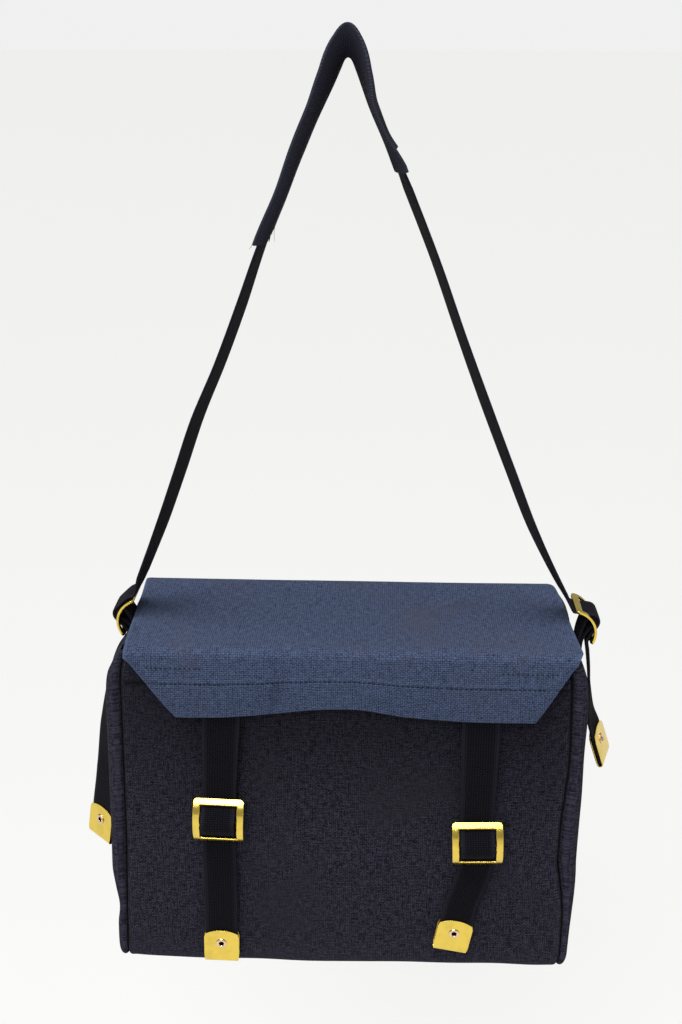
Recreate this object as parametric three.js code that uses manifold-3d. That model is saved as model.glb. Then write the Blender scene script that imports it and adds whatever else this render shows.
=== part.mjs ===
// Canvas haversack hanging by its shoulder strap. Millimetres, +Z up, the front faces -Y.
// The origin is the inner side of the strap where it hangs.
import * as THREE from 'three';
import { mergeVertices } from 'three/addons/utils/BufferGeometryUtils.js';
import Module from 'manifold-3d';

// Bag
const BAG_WIDTH = 277;
const BAG_HEIGHT = 226;
const BAG_DEPTH = 102;
const STRAP_DROP = 337;
const CANVAS = 1.4;
const CORNER_RADIUS = 9;
const SEAM_ALLOWANCE = 7.5;
const SEAM_TURN = 2.2;
const HEM_HEIGHT = 20;
const PANEL_BULGE = 2;
const FLOOR_SAG = 1.5;

// Flap
const FLAP_DROP = 38;
const FLAP_FLARE = 8;
const FLAP_SAG = 2.5;

// Webbing
const WEBBING = 1.8;
const WEBBING_WIDTH = 21.5;
const CHAPE = 1.6;
const CHAPE_WIDTH = 20;
const SHOULDER = 2;
const SHOULDER_WIDTH = 50.8;
const SHOULDER_LEFT = 106;
const SHOULDER_RIGHT = 62;
const SHOULDER_LAP = 28;
const TAIL_LEFT = 135;
const TAIL_RIGHT = 66;
const FRONT_TAIL_LEFT = 72;
const FRONT_TAIL_RIGHT = 47;
const FRONT_CHAPE_REACH = 24;
const SIDE_CHAPE_REACH = 34;

// Brass
const BRASS = 1.6;
const FRONT_BUCKLE_WIDTH = 31.5;
const FRONT_BUCKLE_CHORD = 31;
const FRONT_BUCKLE_RISE = 6;
const SIDE_BUCKLE_WIDTH = 29;
const SIDE_BUCKLE_CHORD = 26;
const SIDE_BUCKLE_RISE = 7;
const BUCKLE_WINDOW = 22.8;
const BUCKLE_BAR = 4.4;
const MIDDLE_BAR = 3.2;
const BAR_SETBACK = 1.2;
const TIP_LENGTH = 25;
const TIP_SHEET = 0.8;
const TIP_SPARE = 0.5;
const TIP_ARCH = 3;
const RIVET_FROM_END = 15;
const RIVET_BORE = 1.5;
const RIVET_TUBE = 2.1;
const RIVET_FLANGE = 3.5;
const RIVET_LIP = 0.6;

// Clearance between pieces
const GAP = 0.3;

const MOUTH = -STRAP_DROP;
const HALF_WIDTH = BAG_WIDTH / 2;
const HALF_DEPTH = BAG_DEPTH / 2;
const RADIANS = Math.PI / 180;

// Seam, roll and dish of each gusset. level is a share of BAG_HEIGHT below the mouth,
// the others are shares of half BAG_WIDTH: where the seam runs, how far the roll stands
// beyond it, and how far the middle of the gusset sinks behind the roll.
const GUSSET_LEFT = [
  { level: 0.0, seam: 0.949, roll: 0.031, dish: 0.03 },
  { level: 0.036, seam: 0.967, roll: 0.043, dish: 0.055 },
  { level: 0.078, seam: 0.979, roll: 0.061, dish: 0.065 },
  { level: 0.115, seam: 0.981, roll: 0.068, dish: 0.06 },
  { level: 0.165, seam: 0.982, roll: 0.072, dish: 0.032 },
  { level: 0.35, seam: 0.988, roll: 0.072, dish: 0.018 },
  { level: 0.6, seam: 0.996, roll: 0.074, dish: 0.018 },
  { level: 0.69, seam: 1.003, roll: 0.071, dish: 0.018 },
  { level: 0.75, seam: 1.007, roll: 0.056, dish: 0.016 },
  { level: 0.82, seam: 1.012, roll: 0.036, dish: 0.011 },
  { level: 0.88, seam: 1.015, roll: 0.045, dish: 0.014 },
  { level: 0.94, seam: 1.019, roll: 0.043, dish: 0.007 },
  { level: 1.0, seam: 1.021, roll: 0.031, dish: 0.0 },
];
const GUSSET_RIGHT = [
  { level: 0.0, seam: 0.961, roll: 0.043, dish: 0.002 },
  { level: 0.036, seam: 0.978, roll: 0.065, dish: 0.014 },
  { level: 0.078, seam: 0.994, roll: 0.069, dish: 0.022 },
  { level: 0.16, seam: 0.999, roll: 0.076, dish: 0.022 },
  { level: 0.3, seam: 1.006, roll: 0.065, dish: 0.018 },
  { level: 0.42, seam: 0.996, roll: 0.078, dish: 0.018 },
  { level: 0.5, seam: 0.986, roll: 0.087, dish: 0.022 },
  { level: 0.63, seam: 0.983, roll: 0.088, dish: 0.022 },
  { level: 0.69, seam: 0.997, roll: 0.076, dish: 0.018 },
  { level: 0.76, seam: 1.013, roll: 0.056, dish: 0.014 },
  { level: 0.84, seam: 1.022, roll: 0.039, dish: 0.011 },
  { level: 0.94, seam: 1.022, roll: 0.033, dish: 0.007 },
  { level: 1.0, seam: 1.007, roll: 0.031, dish: 0.0 },
];

// Levels of the bag's walls, as shares of the straight height.
const WALL_LEVELS = [0, 0.04, 0.08, 0.12, 0.17, 0.26, 0.38, 0.52, 0.64, 0.74, 0.85, 0.93, 1];

// The flap's outline from its sewn edge to its hem. depth is a share of half BAG_DEPTH,
// rise is a share of FLAP_DROP above the mouth, flare a share of FLAP_FLARE.
const FLAP_PROFILE = [
  { depth: 1, rise: -0.68, flare: 0.17 },
  { depth: 1, rise: -0.3, flare: 0.17 },
  { depth: 0.99, rise: 0.0, flare: 0.17 },
  { depth: 0.94, rise: 0.115, flare: 0.1 },
  { depth: 0.82, rise: 0.145, flare: 0 },
  { depth: 0.5, rise: 0.115, flare: 0 },
  { depth: 0, rise: 0.085, flare: 0 },
  { depth: -0.5, rise: 0.065, flare: 0 },
  { depth: -0.8, rise: 0.07, flare: 0 },
  { depth: -0.96, rise: 0.062, flare: -0.1 },
  { depth: -1, rise: 0.005, flare: -0.45 },
  { depth: -1, rise: -0.12, flare: -0.68 },
  { depth: -1, rise: -0.33, flare: -0.92 },
  { depth: -1, rise: -0.56, flare: -1.1 },
  { depth: -1, rise: -0.79, flare: -1.24 },
  { depth: -1, rise: -1, flare: -1.35 },
];

// The flap's side edges along its profile, as shares of half BAG_WIDTH.
const FLAP_EDGES = [
  { row: 0, left: 0.974, right: 0.962 },
  { row: 3, left: 0.978, right: 0.967 },
  { row: 5, left: 0.97, right: 1.0 },
  { row: 7, left: 0.962, right: 1.022 },
  { row: 9, left: 0.953, right: 1.033 },
  { row: 10.6, left: 0.954, right: 1.008 },
  { row: 15, left: 0.727, right: 0.833 },
];

// The hem's drop across the flap, as a share of FLAP_DROP. across is a share of half BAG_WIDTH.
const FLAP_HEM = [
  { across: -1, drop: 1.0 },
  { across: -0.73, drop: 1.0 },
  { across: -0.4, drop: 0.955 },
  { across: -0.1, drop: 0.82 },
  { across: 0.03, drop: 0.8 },
  { across: 0.29, drop: 0.93 },
  { across: 0.55, drop: 0.985 },
  { across: 1, drop: 0.98 },
];

// Cup of the shoulder piece. from is the distance from where it hangs, as a share of
// SHOULDER_LEFT, negative on the left leg. flat and bend are shares of half SHOULDER_WIDTH:
// the flat middle and the curved stretch beside it. lip is the angle of the edges in degrees,
// turn how far the cup has turned from the leg's own normal towards +Z (1 at the hook).
const SHOULDER_CUP = [
  { from: -1, flat: 0.45, bend: 0.4, lip: 45, turn: 0 },
  { from: -0.75, flat: 0.42, bend: 0.4, lip: 34, turn: 0 },
  { from: -0.5, flat: 0.3, bend: 0.45, lip: 30, turn: 0 },
  { from: -0.3, flat: 0.15, bend: 0.5, lip: 25, turn: 0.08 },
  { from: -0.15, flat: 0.05, bend: 0.6, lip: 36, turn: 0.45 },
  { from: -0.04, flat: 0, bend: 0.62, lip: 70, turn: 0.88 },
  { from: 0, flat: 0, bend: 0.62, lip: 77, turn: 1 },
  { from: 0.04, flat: 0, bend: 0.62, lip: 66, turn: 0.88 },
  { from: 0.15, flat: 0.05, bend: 0.6, lip: 26, turn: 0.45 },
  { from: 0.28, flat: 0.3, bend: 0.5, lip: 12, turn: 0.08 },
  { from: 0.42, flat: 0.45, bend: 0.4, lip: 16, turn: 0 },
  { from: 0.6, flat: 0.45, bend: 0.4, lip: 45, turn: 0 },
];

// Hanging tails. along and out are shares of the tail's length, twist is in degrees.
const TAIL_LEFT_FORM = [
  { along: 0.06, out: 0.024, twist: 0 },
  { along: 0.15, out: 0.075, twist: -5 },
  { along: 0.325, out: 0.118, twist: -15 },
  { along: 0.555, out: 0.143, twist: -36 },
  { along: 0.8, out: 0.162, twist: -48 },
  { along: 1, out: 0.19, twist: -50 },
];
const TAIL_RIGHT_FORM = [
  { along: 0.1, out: 0.018, twist: 2 },
  { along: 0.27, out: 0.042, twist: 4 },
  { along: 0.62, out: 0.078, twist: 9 },
  { along: 0.86, out: 0.108, twist: 16 },
  { along: 1, out: 0.155, twist: 20 },
];

// Both front straps: centre is the buckle's place as a share of half BAG_WIDTH, level its
// share of BAG_HEIGHT below the mouth, top the strap's place under the flap, turn in degrees.
const FRONT_LEFT = { centre: -0.555, level: 0.489, top: -0.527, turn: -1.8, tail: FRONT_TAIL_LEFT };
const FRONT_RIGHT = { centre: 0.607, level: 0.546, top: 0.602, turn: 2, tail: FRONT_TAIL_RIGHT };

// The front straps below their buckles. along and aside are shares of the tail's length,
// off is the stand-off from the front panel as a share of a webbing's thickness.
const FRONT_TAIL_LEFT_FORM = [
  { along: 0.1, aside: 0.0, off: 3.2 },
  { along: 0.35, aside: -0.002, off: 3.0 },
  { along: 0.7, aside: -0.006, off: 2.4 },
  { along: 1, aside: -0.012, off: 2.3 },
];
const FRONT_TAIL_RIGHT_FORM = [
  { along: 0.12, aside: -0.02, off: 3.2 },
  { along: 0.4, aside: -0.09, off: 3.0 },
  { along: 0.75, aside: -0.19, off: 2.4 },
  { along: 1, aside: -0.235, off: 2.3 },
];

// Side buckles: out is how far the bent face stands beyond the seam line and the chape's two
// layers, as a share of half BAG_WIDTH, tilt the lean of the buckle in degrees. overTop has the strap pass outside the
// upper end bar. bow is the leg's bend outwards from a straight line, along its run, as a
// share of STRAP_DROP.
const SIDE_LEFT = {
  sign: -1, out: 0.0109, tilt: 16, overTop: true,
  gusset: GUSSET_LEFT, tail: TAIL_LEFT, form: TAIL_LEFT_FORM,
  bow: [
    { along: 0, bow: 0 },
    { along: 0.12, bow: 0.008 },
    { along: 0.32, bow: 0.01 },
    { along: 0.5, bow: 0.004 },
    { along: 0.62, bow: 0.008 },
    { along: 0.82, bow: 0 },
  ],
};
const SIDE_RIGHT = {
  sign: 1, out: 0.0949, tilt: 26, overTop: false,
  gusset: GUSSET_RIGHT, tail: TAIL_RIGHT, form: TAIL_RIGHT_FORM,
  bow: [
    { along: 0, bow: 0 },
    { along: 0.28, bow: 0 },
    { along: 0.46, bow: -0.007 },
    { along: 0.66, bow: -0.013 },
    { along: 0.85, bow: -0.015 },
    { along: 0.93, bow: -0.01 },
    { along: 1, bow: 0 },
  ],
};
const SIDE_BUCKLE_LEVEL = -0.027;

// Slight twist of the shoulder strap's narrow legs, in degrees along their run.
const LEG_TWIST = [
  { along: 0, twist: 2 },
  { along: 0.35, twist: 6 },
  { along: 0.55, twist: 11 },
  { along: 0.75, twist: 7 },
  { along: 1, twist: 0 },
];

const wasm = await Module();
wasm.setup();

const lerp = THREE.MathUtils.lerp;

function readTable(rows, key, at, column) {
  if (at <= rows[0][key]) return rows[0][column];
  for (let i = 1; i < rows.length; i += 1) {
    const low = rows[i - 1];
    const high = rows[i];
    if (at <= high[key]) return lerp(low[column], high[column], (at - low[key]) / (high[key] - low[key]));
  }
  return rows[rows.length - 1][column];
}

function smooth(t) {
  const s = Math.min(1, Math.max(0, t));
  return s * s * (3 - 2 * s);
}

function spread(low, high, count) {
  return Array.from({ length: count + 1 }, (_, i) => lerp(low, high, i / count));
}

// Merges a closed mesh's shared points, drops empty triangles and turns its faces outwards.
function closed(geometry) {
  const bare = geometry.clone();
  for (const name of Object.keys(bare.attributes)) {
    if (name !== 'position') bare.deleteAttribute(name);
  }
  const merged = mergeVertices(bare, 1e-4);
  const position = merged.getAttribute('position');
  const index = merged.getIndex().array;
  const kept = [];
  let volume = 0;
  const a = new THREE.Vector3();
  const b = new THREE.Vector3();
  const c = new THREE.Vector3();
  for (let i = 0; i < index.length; i += 3) {
    const [p, q, r] = [index[i], index[i + 1], index[i + 2]];
    if (p === q || q === r || r === p) continue;
    kept.push(p, q, r);
    a.fromBufferAttribute(position, p);
    b.fromBufferAttribute(position, q);
    c.fromBufferAttribute(position, r);
    volume += a.dot(b.cross(c));
  }
  if (volume < 0) {
    for (let i = 0; i < kept.length; i += 3) [kept[i], kept[i + 1]] = [kept[i + 1], kept[i]];
  }
  merged.setIndex(kept);
  return merged;
}

// A wall between two grids of points. skip names the cells that are left open, and
// openEnd leaves out the rim of the last column where the wall meets itself.
function wallBetween(outer, inner, { skip = () => false, openEnd = false } = {}) {
  const rows = outer.length - 1;
  const columns = outer[0].length - 1;
  const triangles = [];
  const quad = (a, b, c, d) => triangles.push(a, b, c, a, c, d);
  const present = (i, j) => i >= 0 && j >= 0 && i < rows && j < columns && !skip(i, j);
  for (let i = 0; i < rows; i += 1) {
    for (let j = 0; j < columns; j += 1) {
      if (!present(i, j)) continue;
      const at = [[i, j], [i + 1, j], [i + 1, j + 1], [i, j + 1]];
      const beyond = [[i, j - 1], [i + 1, j], [i, j + 1], [i - 1, j]];
      quad(...at.map(([m, n]) => outer[m][n]));
      quad(...at.map(([m, n]) => inner[m][n]).reverse());
      for (let side = 0; side < 4; side += 1) {
        if (present(...beyond[side])) continue;
        if (openEnd && side === 2 && j === columns - 1) continue;
        const [m, n] = at[side];
        const [p, q] = at[(side + 1) % 4];
        quad(outer[p][q], outer[m][n], inner[m][n], inner[p][q]);
      }
    }
  }
  const geometry = new THREE.BufferGeometry().setFromPoints(triangles);
  return closed(geometry);
}

// Unit normals of a grid of points, from the differences along its rows and columns.
function gridNormals(grid) {
  return grid.map((row, i) => row.map((_, j) => {
    const up = grid[Math.max(i - 1, 0)][j];
    const down = grid[Math.min(i + 1, grid.length - 1)][j];
    const before = row[Math.max(j - 1, 0)];
    const after = row[Math.min(j + 1, row.length - 1)];
    const along = new THREE.Vector3().subVectors(down, up);
    const across = new THREE.Vector3().subVectors(after, before);
    return along.cross(across).normalize();
  }));
}

// A wall laid on a grid: its two faces stand at the distances above and below along the normals.
function wall(grid, above, below, options = {}) {
  const normals = options.normals ?? gridNormals(grid);
  const face = (distance) => grid.map((row, i) => row.map((point, j) => {
    const reach = typeof distance === 'function' ? distance(i, j) : distance;
    return point.clone().addScaledVector(normals[i][j], reach);
  }));
  return wallBetween(face(above), face(below), options);
}

function toSolid(geometry) {
  const vertProperties = new Float32Array(geometry.getAttribute('position').array);
  const triVerts = new Uint32Array(geometry.getIndex().array);
  return new wasm.Manifold(new wasm.Mesh({ numProp: 3, vertProperties, triVerts }));
}

function cut(geometry, tool) {
  const mesh = toSolid(geometry).subtract(toSolid(closed(tool))).getMesh();
  const result = new THREE.BufferGeometry();
  result.setAttribute('position', new THREE.BufferAttribute(mesh.vertProperties, 3));
  result.setIndex(new THREE.BufferAttribute(mesh.triVerts, 1));
  return result;
}

const CANVAS_LOOK = { color: 0x20222f, roughness: 0.95, metalness: 0 };
const FLAP_LOOK = { color: 0x2a3044, roughness: 0.95, metalness: 0 };
const WEBBING_LOOK = { color: 0x12131b, roughness: 0.9, metalness: 0 };
const BRASS_LOOK = { color: 0xd9a928, roughness: 0.25, metalness: 1 };

const haversack = new THREE.Group();

function add(name, geometry, look) {
  const flat = geometry.toNonIndexed();
  flat.computeVertexNormals();
  const mesh = new THREE.Mesh(flat, new THREE.MeshStandardMaterial(look));
  mesh.name = name;
  haversack.add(mesh);
}

// The line that front, bottom and back follow, seen from the side, from mouth to mouth.
function bagRows() {
  const straight = BAG_HEIGHT - CORNER_RADIUS;
  const floor = MOUTH - BAG_HEIGHT;
  const level = (z) => (MOUTH - z) / BAG_HEIGHT;
  const rows = [];
  const put = (y, z, ny, nz) => rows.push({ y, z, ny, nz, level: level(z) });
  WALL_LEVELS.forEach((share) => put(-HALF_DEPTH, MOUTH - share * straight, -1, 0));
  for (const angle of [30, 60]) {
    const [c, s] = [Math.cos(angle * RADIANS), Math.sin(angle * RADIANS)];
    put(-HALF_DEPTH + CORNER_RADIUS * (1 - c), floor + CORNER_RADIUS * (1 - s), -c, -s);
  }
  const run = HALF_DEPTH - CORNER_RADIUS;
  spread(-run, run, 4).forEach((y) => put(y, floor, 0, -1));
  for (let i = WALL_LEVELS.length + 1; i >= 0; i -= 1) {
    const front = rows[i];
    put(-front.y, front.z, -front.ny, front.nz);
  }
  return rows;
}

const ROWS = bagRows();

function seamAt(table, level) {
  return HALF_WIDTH * readTable(table, 'level', level, 'seam');
}

function rollAt(table, level) {
  return Math.max(HALF_WIDTH * readTable(table, 'level', level, 'roll'), 3 * CANVAS);
}

// How far the panels stand proud between their seams, from 0 at a seam to 1 in the middle.
function proud(share, row) {
  const across = 1 - share ** 4;
  const upright = Math.abs(row.ny);
  const wave = Math.sin(Math.PI * Math.min(1, row.level / 0.96));
  return across * (upright * PANEL_BULGE * wave + (1 - upright) * FLOOR_SAG);
}

function buildBodyPanel() {
  const flange = [SEAM_ALLOWANCE, SEAM_TURN];
  const middle = spread(-1, 1, 8).slice(1, -1);
  const grid = ROWS.map((row) => {
    const left = seamAt(GUSSET_LEFT, row.level) - GAP * 0.7;
    const right = seamAt(GUSSET_RIGHT, row.level) - GAP * 0.7;
    const turn = SEAM_TURN * (1 - Math.SQRT1_2);
    const place = (x, depth) => new THREE.Vector3(x, row.y - depth * row.ny, row.z - depth * row.nz);
    const start = flange.map((depth) => place(-left, depth));
    start.push(place(-left + turn, turn), place(-left + SEAM_TURN, 0));
    const face = middle.map((share) => {
      const reach = share < 0 ? left - SEAM_TURN : right - SEAM_TURN;
      return place(share * reach, -proud(share, row));
    });
    const end = flange.map((depth) => place(right, depth)).reverse();
    end.unshift(place(right - SEAM_TURN, 0), place(right - turn, turn));
    return [...start, ...face, ...end];
  });
  const columns = grid[0].length;
  const hemmed = (i, j) => {
    const below = MOUTH - ROWS[i].z;
    const onFront = ROWS[i].y < 0 && j > 3 && j < columns - 4;
    return onFront && below < HEM_HEIGHT ? CANVAS : 0;
  };
  add('body_panel', wall(grid, hemmed, -CANVAS), CANVAS_LOOK);
}

// The gusset's middle line, where its front and back halves meet: its rows are closer
// together than those of the rim, and it runs straight between them.
const SPINE_DROP = BAG_HEIGHT - HALF_DEPTH;
const SPINE_HEIGHTS = WALL_LEVELS.map((share) => MOUTH - share * SPINE_DROP);

function gussetFace(side, z) {
  const faceAt = (height) => {
    const level = (MOUTH - height) / BAG_HEIGHT;
    const dish = HALF_WIDTH * readTable(side.gusset, 'level', level, 'dish');
    return seamAt(side.gusset, level) + rollAt(side.gusset, level) - dish;
  };
  const below = SPINE_HEIGHTS.findIndex((height) => height < z);
  const i = below < 1 ? SPINE_HEIGHTS.length - 1 : below;
  const [high, low] = [SPINE_HEIGHTS[i - 1], SPINE_HEIGHTS[i]];
  const share = Math.min(1, Math.max(0, (high - z) / (high - low)));
  return lerp(faceAt(high), faceAt(low), share);
}

function buildGusset(name, side) {
  const spineScale = SPINE_DROP / (BAG_HEIGHT - CORNER_RADIUS);
  const shares = [0.3, 0.75, 1];
  const grid = [];
  const spine = [];
  ROWS.forEach((row) => {
    const seam = seamAt(side.gusset, row.level) + GAP * 0.7;
    const radius = rollAt(side.gusset, row.level) / 2;
    const place = (x, depth) => new THREE.Vector3(
      side.sign * x, row.y - depth * row.ny, row.z - depth * row.nz);
    const points = [place(seam, SEAM_ALLOWANCE)];
    for (const angle of [0, 45, 90, 135, 180]) {
      const out = seam + radius * (1 - Math.cos(angle * RADIANS));
      points.push(place(out, GAP + radius * (1 - Math.sin(angle * RADIANS))));
    }
    const rim = points[points.length - 1];
    const z = Math.max(MOUTH - (MOUTH - row.z) * spineScale, MOUTH - SPINE_DROP);
    const heart = new THREE.Vector3(side.sign * gussetFace(side, z), 0, z);
    for (const share of shares) {
      const point = new THREE.Vector3().lerpVectors(rim, heart, share);
      point.x = lerp(rim.x, heart.x, smooth(share * 1.3));
      points.push(share === 1 ? heart : point);
    }
    grid.push(points);
    spine.push(points.length - 1);
  });
  const normals = gridNormals(grid);
  const outward = normals[2][grid[0].length - 3].x * side.sign > 0 ? 1 : -1;
  normals.forEach((line, i) => {
    line[spine[i]].set(side.sign * outward, 0, 0);
  });
  const thick = outward > 0 ? [0, -CANVAS] : [CANVAS, 0];
  add(name, wall(grid, thick[0], thick[1], { normals, openEnd: true }), CANVAS_LOOK);
}

// The flap's profile as a smooth line, with the row number of the table at each point.
function flapLine() {
  const key = FLAP_PROFILE.map((row) => new THREE.Vector3(
    0, row.depth * HALF_DEPTH + row.flare * FLAP_FLARE, MOUTH + row.rise * FLAP_DROP));
  const curve = new THREE.CatmullRomCurve3(key);
  const parts = [1, 1, 1, 1, 1, 1, 1, 1, 1, 2, 2, 1, 1, 1, 1];
  const line = [];
  parts.forEach((count, k) => {
    for (let n = 0; n < count; n += 1) line.push(k + n / count);
  });
  line.push(key.length - 1);
  return line.map((row) => ({ row, point: curve.getPoint(row / (key.length - 1)) }));
}

const FLAP_LINE = flapLine();

// A point of the flap's outer face. across runs from -1 to 1 between its side edges.
function flapPoint({ row, point }, across) {
  const left = -HALF_WIDTH * readTable(FLAP_EDGES, 'row', row, 'left');
  const right = HALF_WIDTH * readTable(FLAP_EDGES, 'row', row, 'right');
  const x = lerp(left, right, (across + 1) / 2);
  const drop = readTable(FLAP_HEM, 'across', x / HALF_WIDTH, 'drop');
  const below = Math.min(0, point.z - MOUTH);
  const onFront = point.y < 0 ? 1 : 0;
  const top = Math.max(0, 1 - (point.y / HALF_DEPTH) ** 2) * (point.z > MOUTH ? 1 : 0);
  const sag = FLAP_SAG * top * (1 - across ** 4);
  const level = (MOUTH - point.z) / BAG_HEIGHT;
  const back = HALF_DEPTH + 2 * GAP + proud(x / HALF_WIDTH, { ny: 1, level });
  const y = point.y > 0 && below < 0 ? back : point.y;
  return new THREE.Vector3(x, y, point.z + below * (drop - 1) * onFront - sag);
}

// How far across the flap a place lies, from -1 to 1 between its side edges.
function acrossFlap({ row }, x) {
  const left = -HALF_WIDTH * readTable(FLAP_EDGES, 'row', row, 'left');
  const right = HALF_WIDTH * readTable(FLAP_EDGES, 'row', row, 'right');
  return 2 * (x - left) / (right - left) - 1;
}

function buildFlap() {
  const across = spread(-1, 1, 8);
  const grid = FLAP_LINE.map((station) => across.map((share) => flapPoint(station, share)));
  add('flap', wall(grid, CANVAS, 0), FLAP_LOOK);
}

// A webbing: rows along a line of stations, each with its point, side direction and width.
function webbing(stations, thickness) {
  const grid = stations.map(({ point, side, width }) => [-0.5, 0.5]
    .map((share) => point.clone().addScaledVector(side, share * width)));
  return wall(grid, thickness / 2, -thickness / 2);
}

// Stations along a smooth line through points, with the side direction turned by their twist.
function stationsAlong(points, reference, width, counts) {
  const curve = new THREE.CatmullRomCurve3(points.map((entry) => entry.point));
  const last = points.length - 1;
  const stations = [];
  for (let k = 0; k <= last; k += 1) {
    const steps = k === last ? 1 : counts(k);
    for (let n = 0; n < steps; n += 1) {
      const at = k + n / steps;
      const next = points[Math.min(k + 1, last)];
      const twist = lerp(points[k].twist ?? 0, next.twist ?? 0, at - k);
      const scale = lerp(points[k].scale ?? 1, next.scale ?? 1, at - k);
      const tangent = curve.getTangent(at / last);
      const side = reference.clone().addScaledVector(tangent, -reference.dot(tangent)).normalize();
      side.applyAxisAngle(tangent, twist * RADIANS);
      stations.push({ point: curve.getPoint(at / last), side, tangent, width: width * scale });
    }
  }
  return stations;
}

// Adds the straight, flat end of a strap that lies in its brass tip.
function withEnd(stations, length) {
  const last = stations[stations.length - 1];
  const point = last.point.clone().addScaledVector(last.tangent, length);
  return [...stations, { ...last, point }];
}

// A buckle's own frame: down along the strap, out from the bag, side across the strap.
function buckleFrame(apex, down, out) {
  const side = new THREE.Vector3().crossVectors(down, out);
  return { apex, down, out, side };
}

function inFrame(frame, across, down, out) {
  return frame.apex.clone()
    .addScaledVector(frame.side, across)
    .addScaledVector(frame.down, down)
    .addScaledVector(frame.out, out);
}

const BAR_DEPTH = BAR_SETBACK + BRASS / 2;
const LOOP = Math.hypot(MIDDLE_BAR, BRASS) / 2 + GAP + CHAPE / 2;
const OVER = LOOP + CHAPE / 2 + GAP + WEBBING / 2;
const PAIR = CHAPE + GAP;

// The strap's middle line through a buckle, as distances down and out in the buckle's frame:
// behind or outside the upper end bar, over the middle bar and behind the lower end bar.
function threadLine(bend, barAngle, endAngle, overTop) {
  const half = (radius) => {
    const past = [barAngle, (barAngle + endAngle) / 2, endAngle + 0.04].map((angle) => ({
      down: radius * Math.sin(angle),
      out: radius * Math.cos(angle) - bend,
    }));
    const reach = Math.hypot(past[0].down, past[0].out + BAR_DEPTH);
    const slope = Math.atan2(-past[0].out - BAR_DEPTH, past[0].down) + Math.asin(OVER / reach);
    const arc = spread(0, slope, 3).map((angle) => ({
      down: OVER * Math.sin(angle),
      out: OVER * Math.cos(angle) - BAR_DEPTH,
    }));
    return [...arc, ...past];
  };
  const behind = bend - BRASS - GAP - WEBBING / 2;
  const outside = bend + GAP + WEBBING / 2 + 0.1;
  const upper = half(overTop ? outside : behind).slice(1).reverse();
  return [...upper.map(({ down, out }) => ({ down: -down, out })), ...half(behind)];
}

// A buckle is a flat plate bent to an arc. lead is where the chape passes its lower bar.
function buckleKind(width, chord, rise, clear, overTop = false) {
  const bend = (chord ** 2 / 4 + rise ** 2) / (2 * rise);
  const endAngle = Math.asin(chord / 2 / bend);
  const thread = threadLine(bend, endAngle - BUCKLE_BAR / bend, endAngle, overTop);
  const near = thread[thread.length - 1];
  const lead = {
    down: near.down - clear * Math.sin(endAngle * 0.8),
    out: near.out - clear * Math.cos(endAngle * 0.8),
  };
  return { width, bend, endAngle, thread, near, lead };
}

const CLEAR_OF_STRAP = WEBBING / 2 + GAP + CHAPE / 2 + PAIR / 2 + 3 * GAP;
const FRONT_KIND = buckleKind(FRONT_BUCKLE_WIDTH, FRONT_BUCKLE_CHORD, FRONT_BUCKLE_RISE, CLEAR_OF_STRAP);
const sideKind = ({ overTop }) => buckleKind(
  SIDE_BUCKLE_WIDTH, SIDE_BUCKLE_CHORD, SIDE_BUCKLE_RISE, CLEAR_OF_STRAP + GAP, overTop);

function buildBuckle(name, frame, kind) {
  const { bend } = kind;
  const end = kind.endAngle * bend;
  const bar = end - BUCKLE_BAR;
  const half = kind.width / 2;
  const window = BUCKLE_WINDOW / 2;
  const shoulder = window - 1.3;
  const rows = [-end, -bar, -bar * 0.56, -MIDDLE_BAR / 2];
  rows.push(...rows.map((value) => -value).reverse());
  const columns = [-half, -window, -shoulder, shoulder, window, half];
  const grid = rows.map((s, i) => columns.map((v, j) => {
    const corner = (i === 0 || i === rows.length - 1) && (j === 0 || j === columns.length - 1);
    const along = corner ? s * 0.97 : s;
    const across = corner ? v * 0.97 : v;
    const onBar = Math.abs(s) <= MIDDLE_BAR / 2 && Math.abs(v) <= shoulder;
    const radius = bend - (onBar ? BAR_SETBACK : 0);
    const angle = along / bend;
    return inFrame(frame, across, radius * Math.sin(angle), radius * Math.cos(angle) - bend);
  }));
  const skip = (i, j) => i > 0 && i < 6 && i !== 3 && j > 0 && j < 4;
  const outward = gridNormals(grid)[2][1].dot(frame.out) > 0;
  const [above, below] = outward ? [0, -BRASS] : [BRASS, 0];
  add(name, wall(grid, above, below, { skip }), BRASS_LOOK);
}

// A chape: two layers lie along its seat, part before the bar and close round it.
// seat holds the pair's middle line from the sewn end to the bar, as points.
function buildChape(name, seat, frame) {
  const bar = inFrame(frame, 0, 0, -BAR_DEPTH);
  const line = [...seat, bar];
  const plane = frame.side;
  const directions = line.map((point, i) => {
    const before = line[Math.max(i - 1, 0)];
    const after = line[Math.min(i + 1, line.length - 1)];
    return new THREE.Vector3().subVectors(after, before).normalize();
  });
  const toOut = directions.map((along) => {
    const out = new THREE.Vector3().crossVectors(along, plane).normalize();
    return out.dot(frame.out) > 0 ? out : out.negate();
  });
  const apart = line.map((_, i) => (i === line.length - 1 ? LOOP : PAIR / 2));
  const layer = (sign) => line.map((point, i) => point.clone().addScaledVector(toOut[i], sign * apart[i]));
  const last = line.length - 1;
  const around = spread(0, Math.PI, 5).slice(1, -1).map((angle) => bar.clone()
    .addScaledVector(toOut[last], -LOOP * Math.cos(angle))
    .addScaledVector(directions[last], LOOP * Math.sin(angle)));
  const path = [...layer(-1), ...around, ...layer(1).reverse()];
  const grid = path.map((point) => [-0.5, 0.5]
    .map((share) => point.clone().addScaledVector(plane, share * CHAPE_WIDTH)));
  add(name, wall(grid, CHAPE / 2, -CHAPE / 2), WEBBING_LOOK);
}

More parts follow.
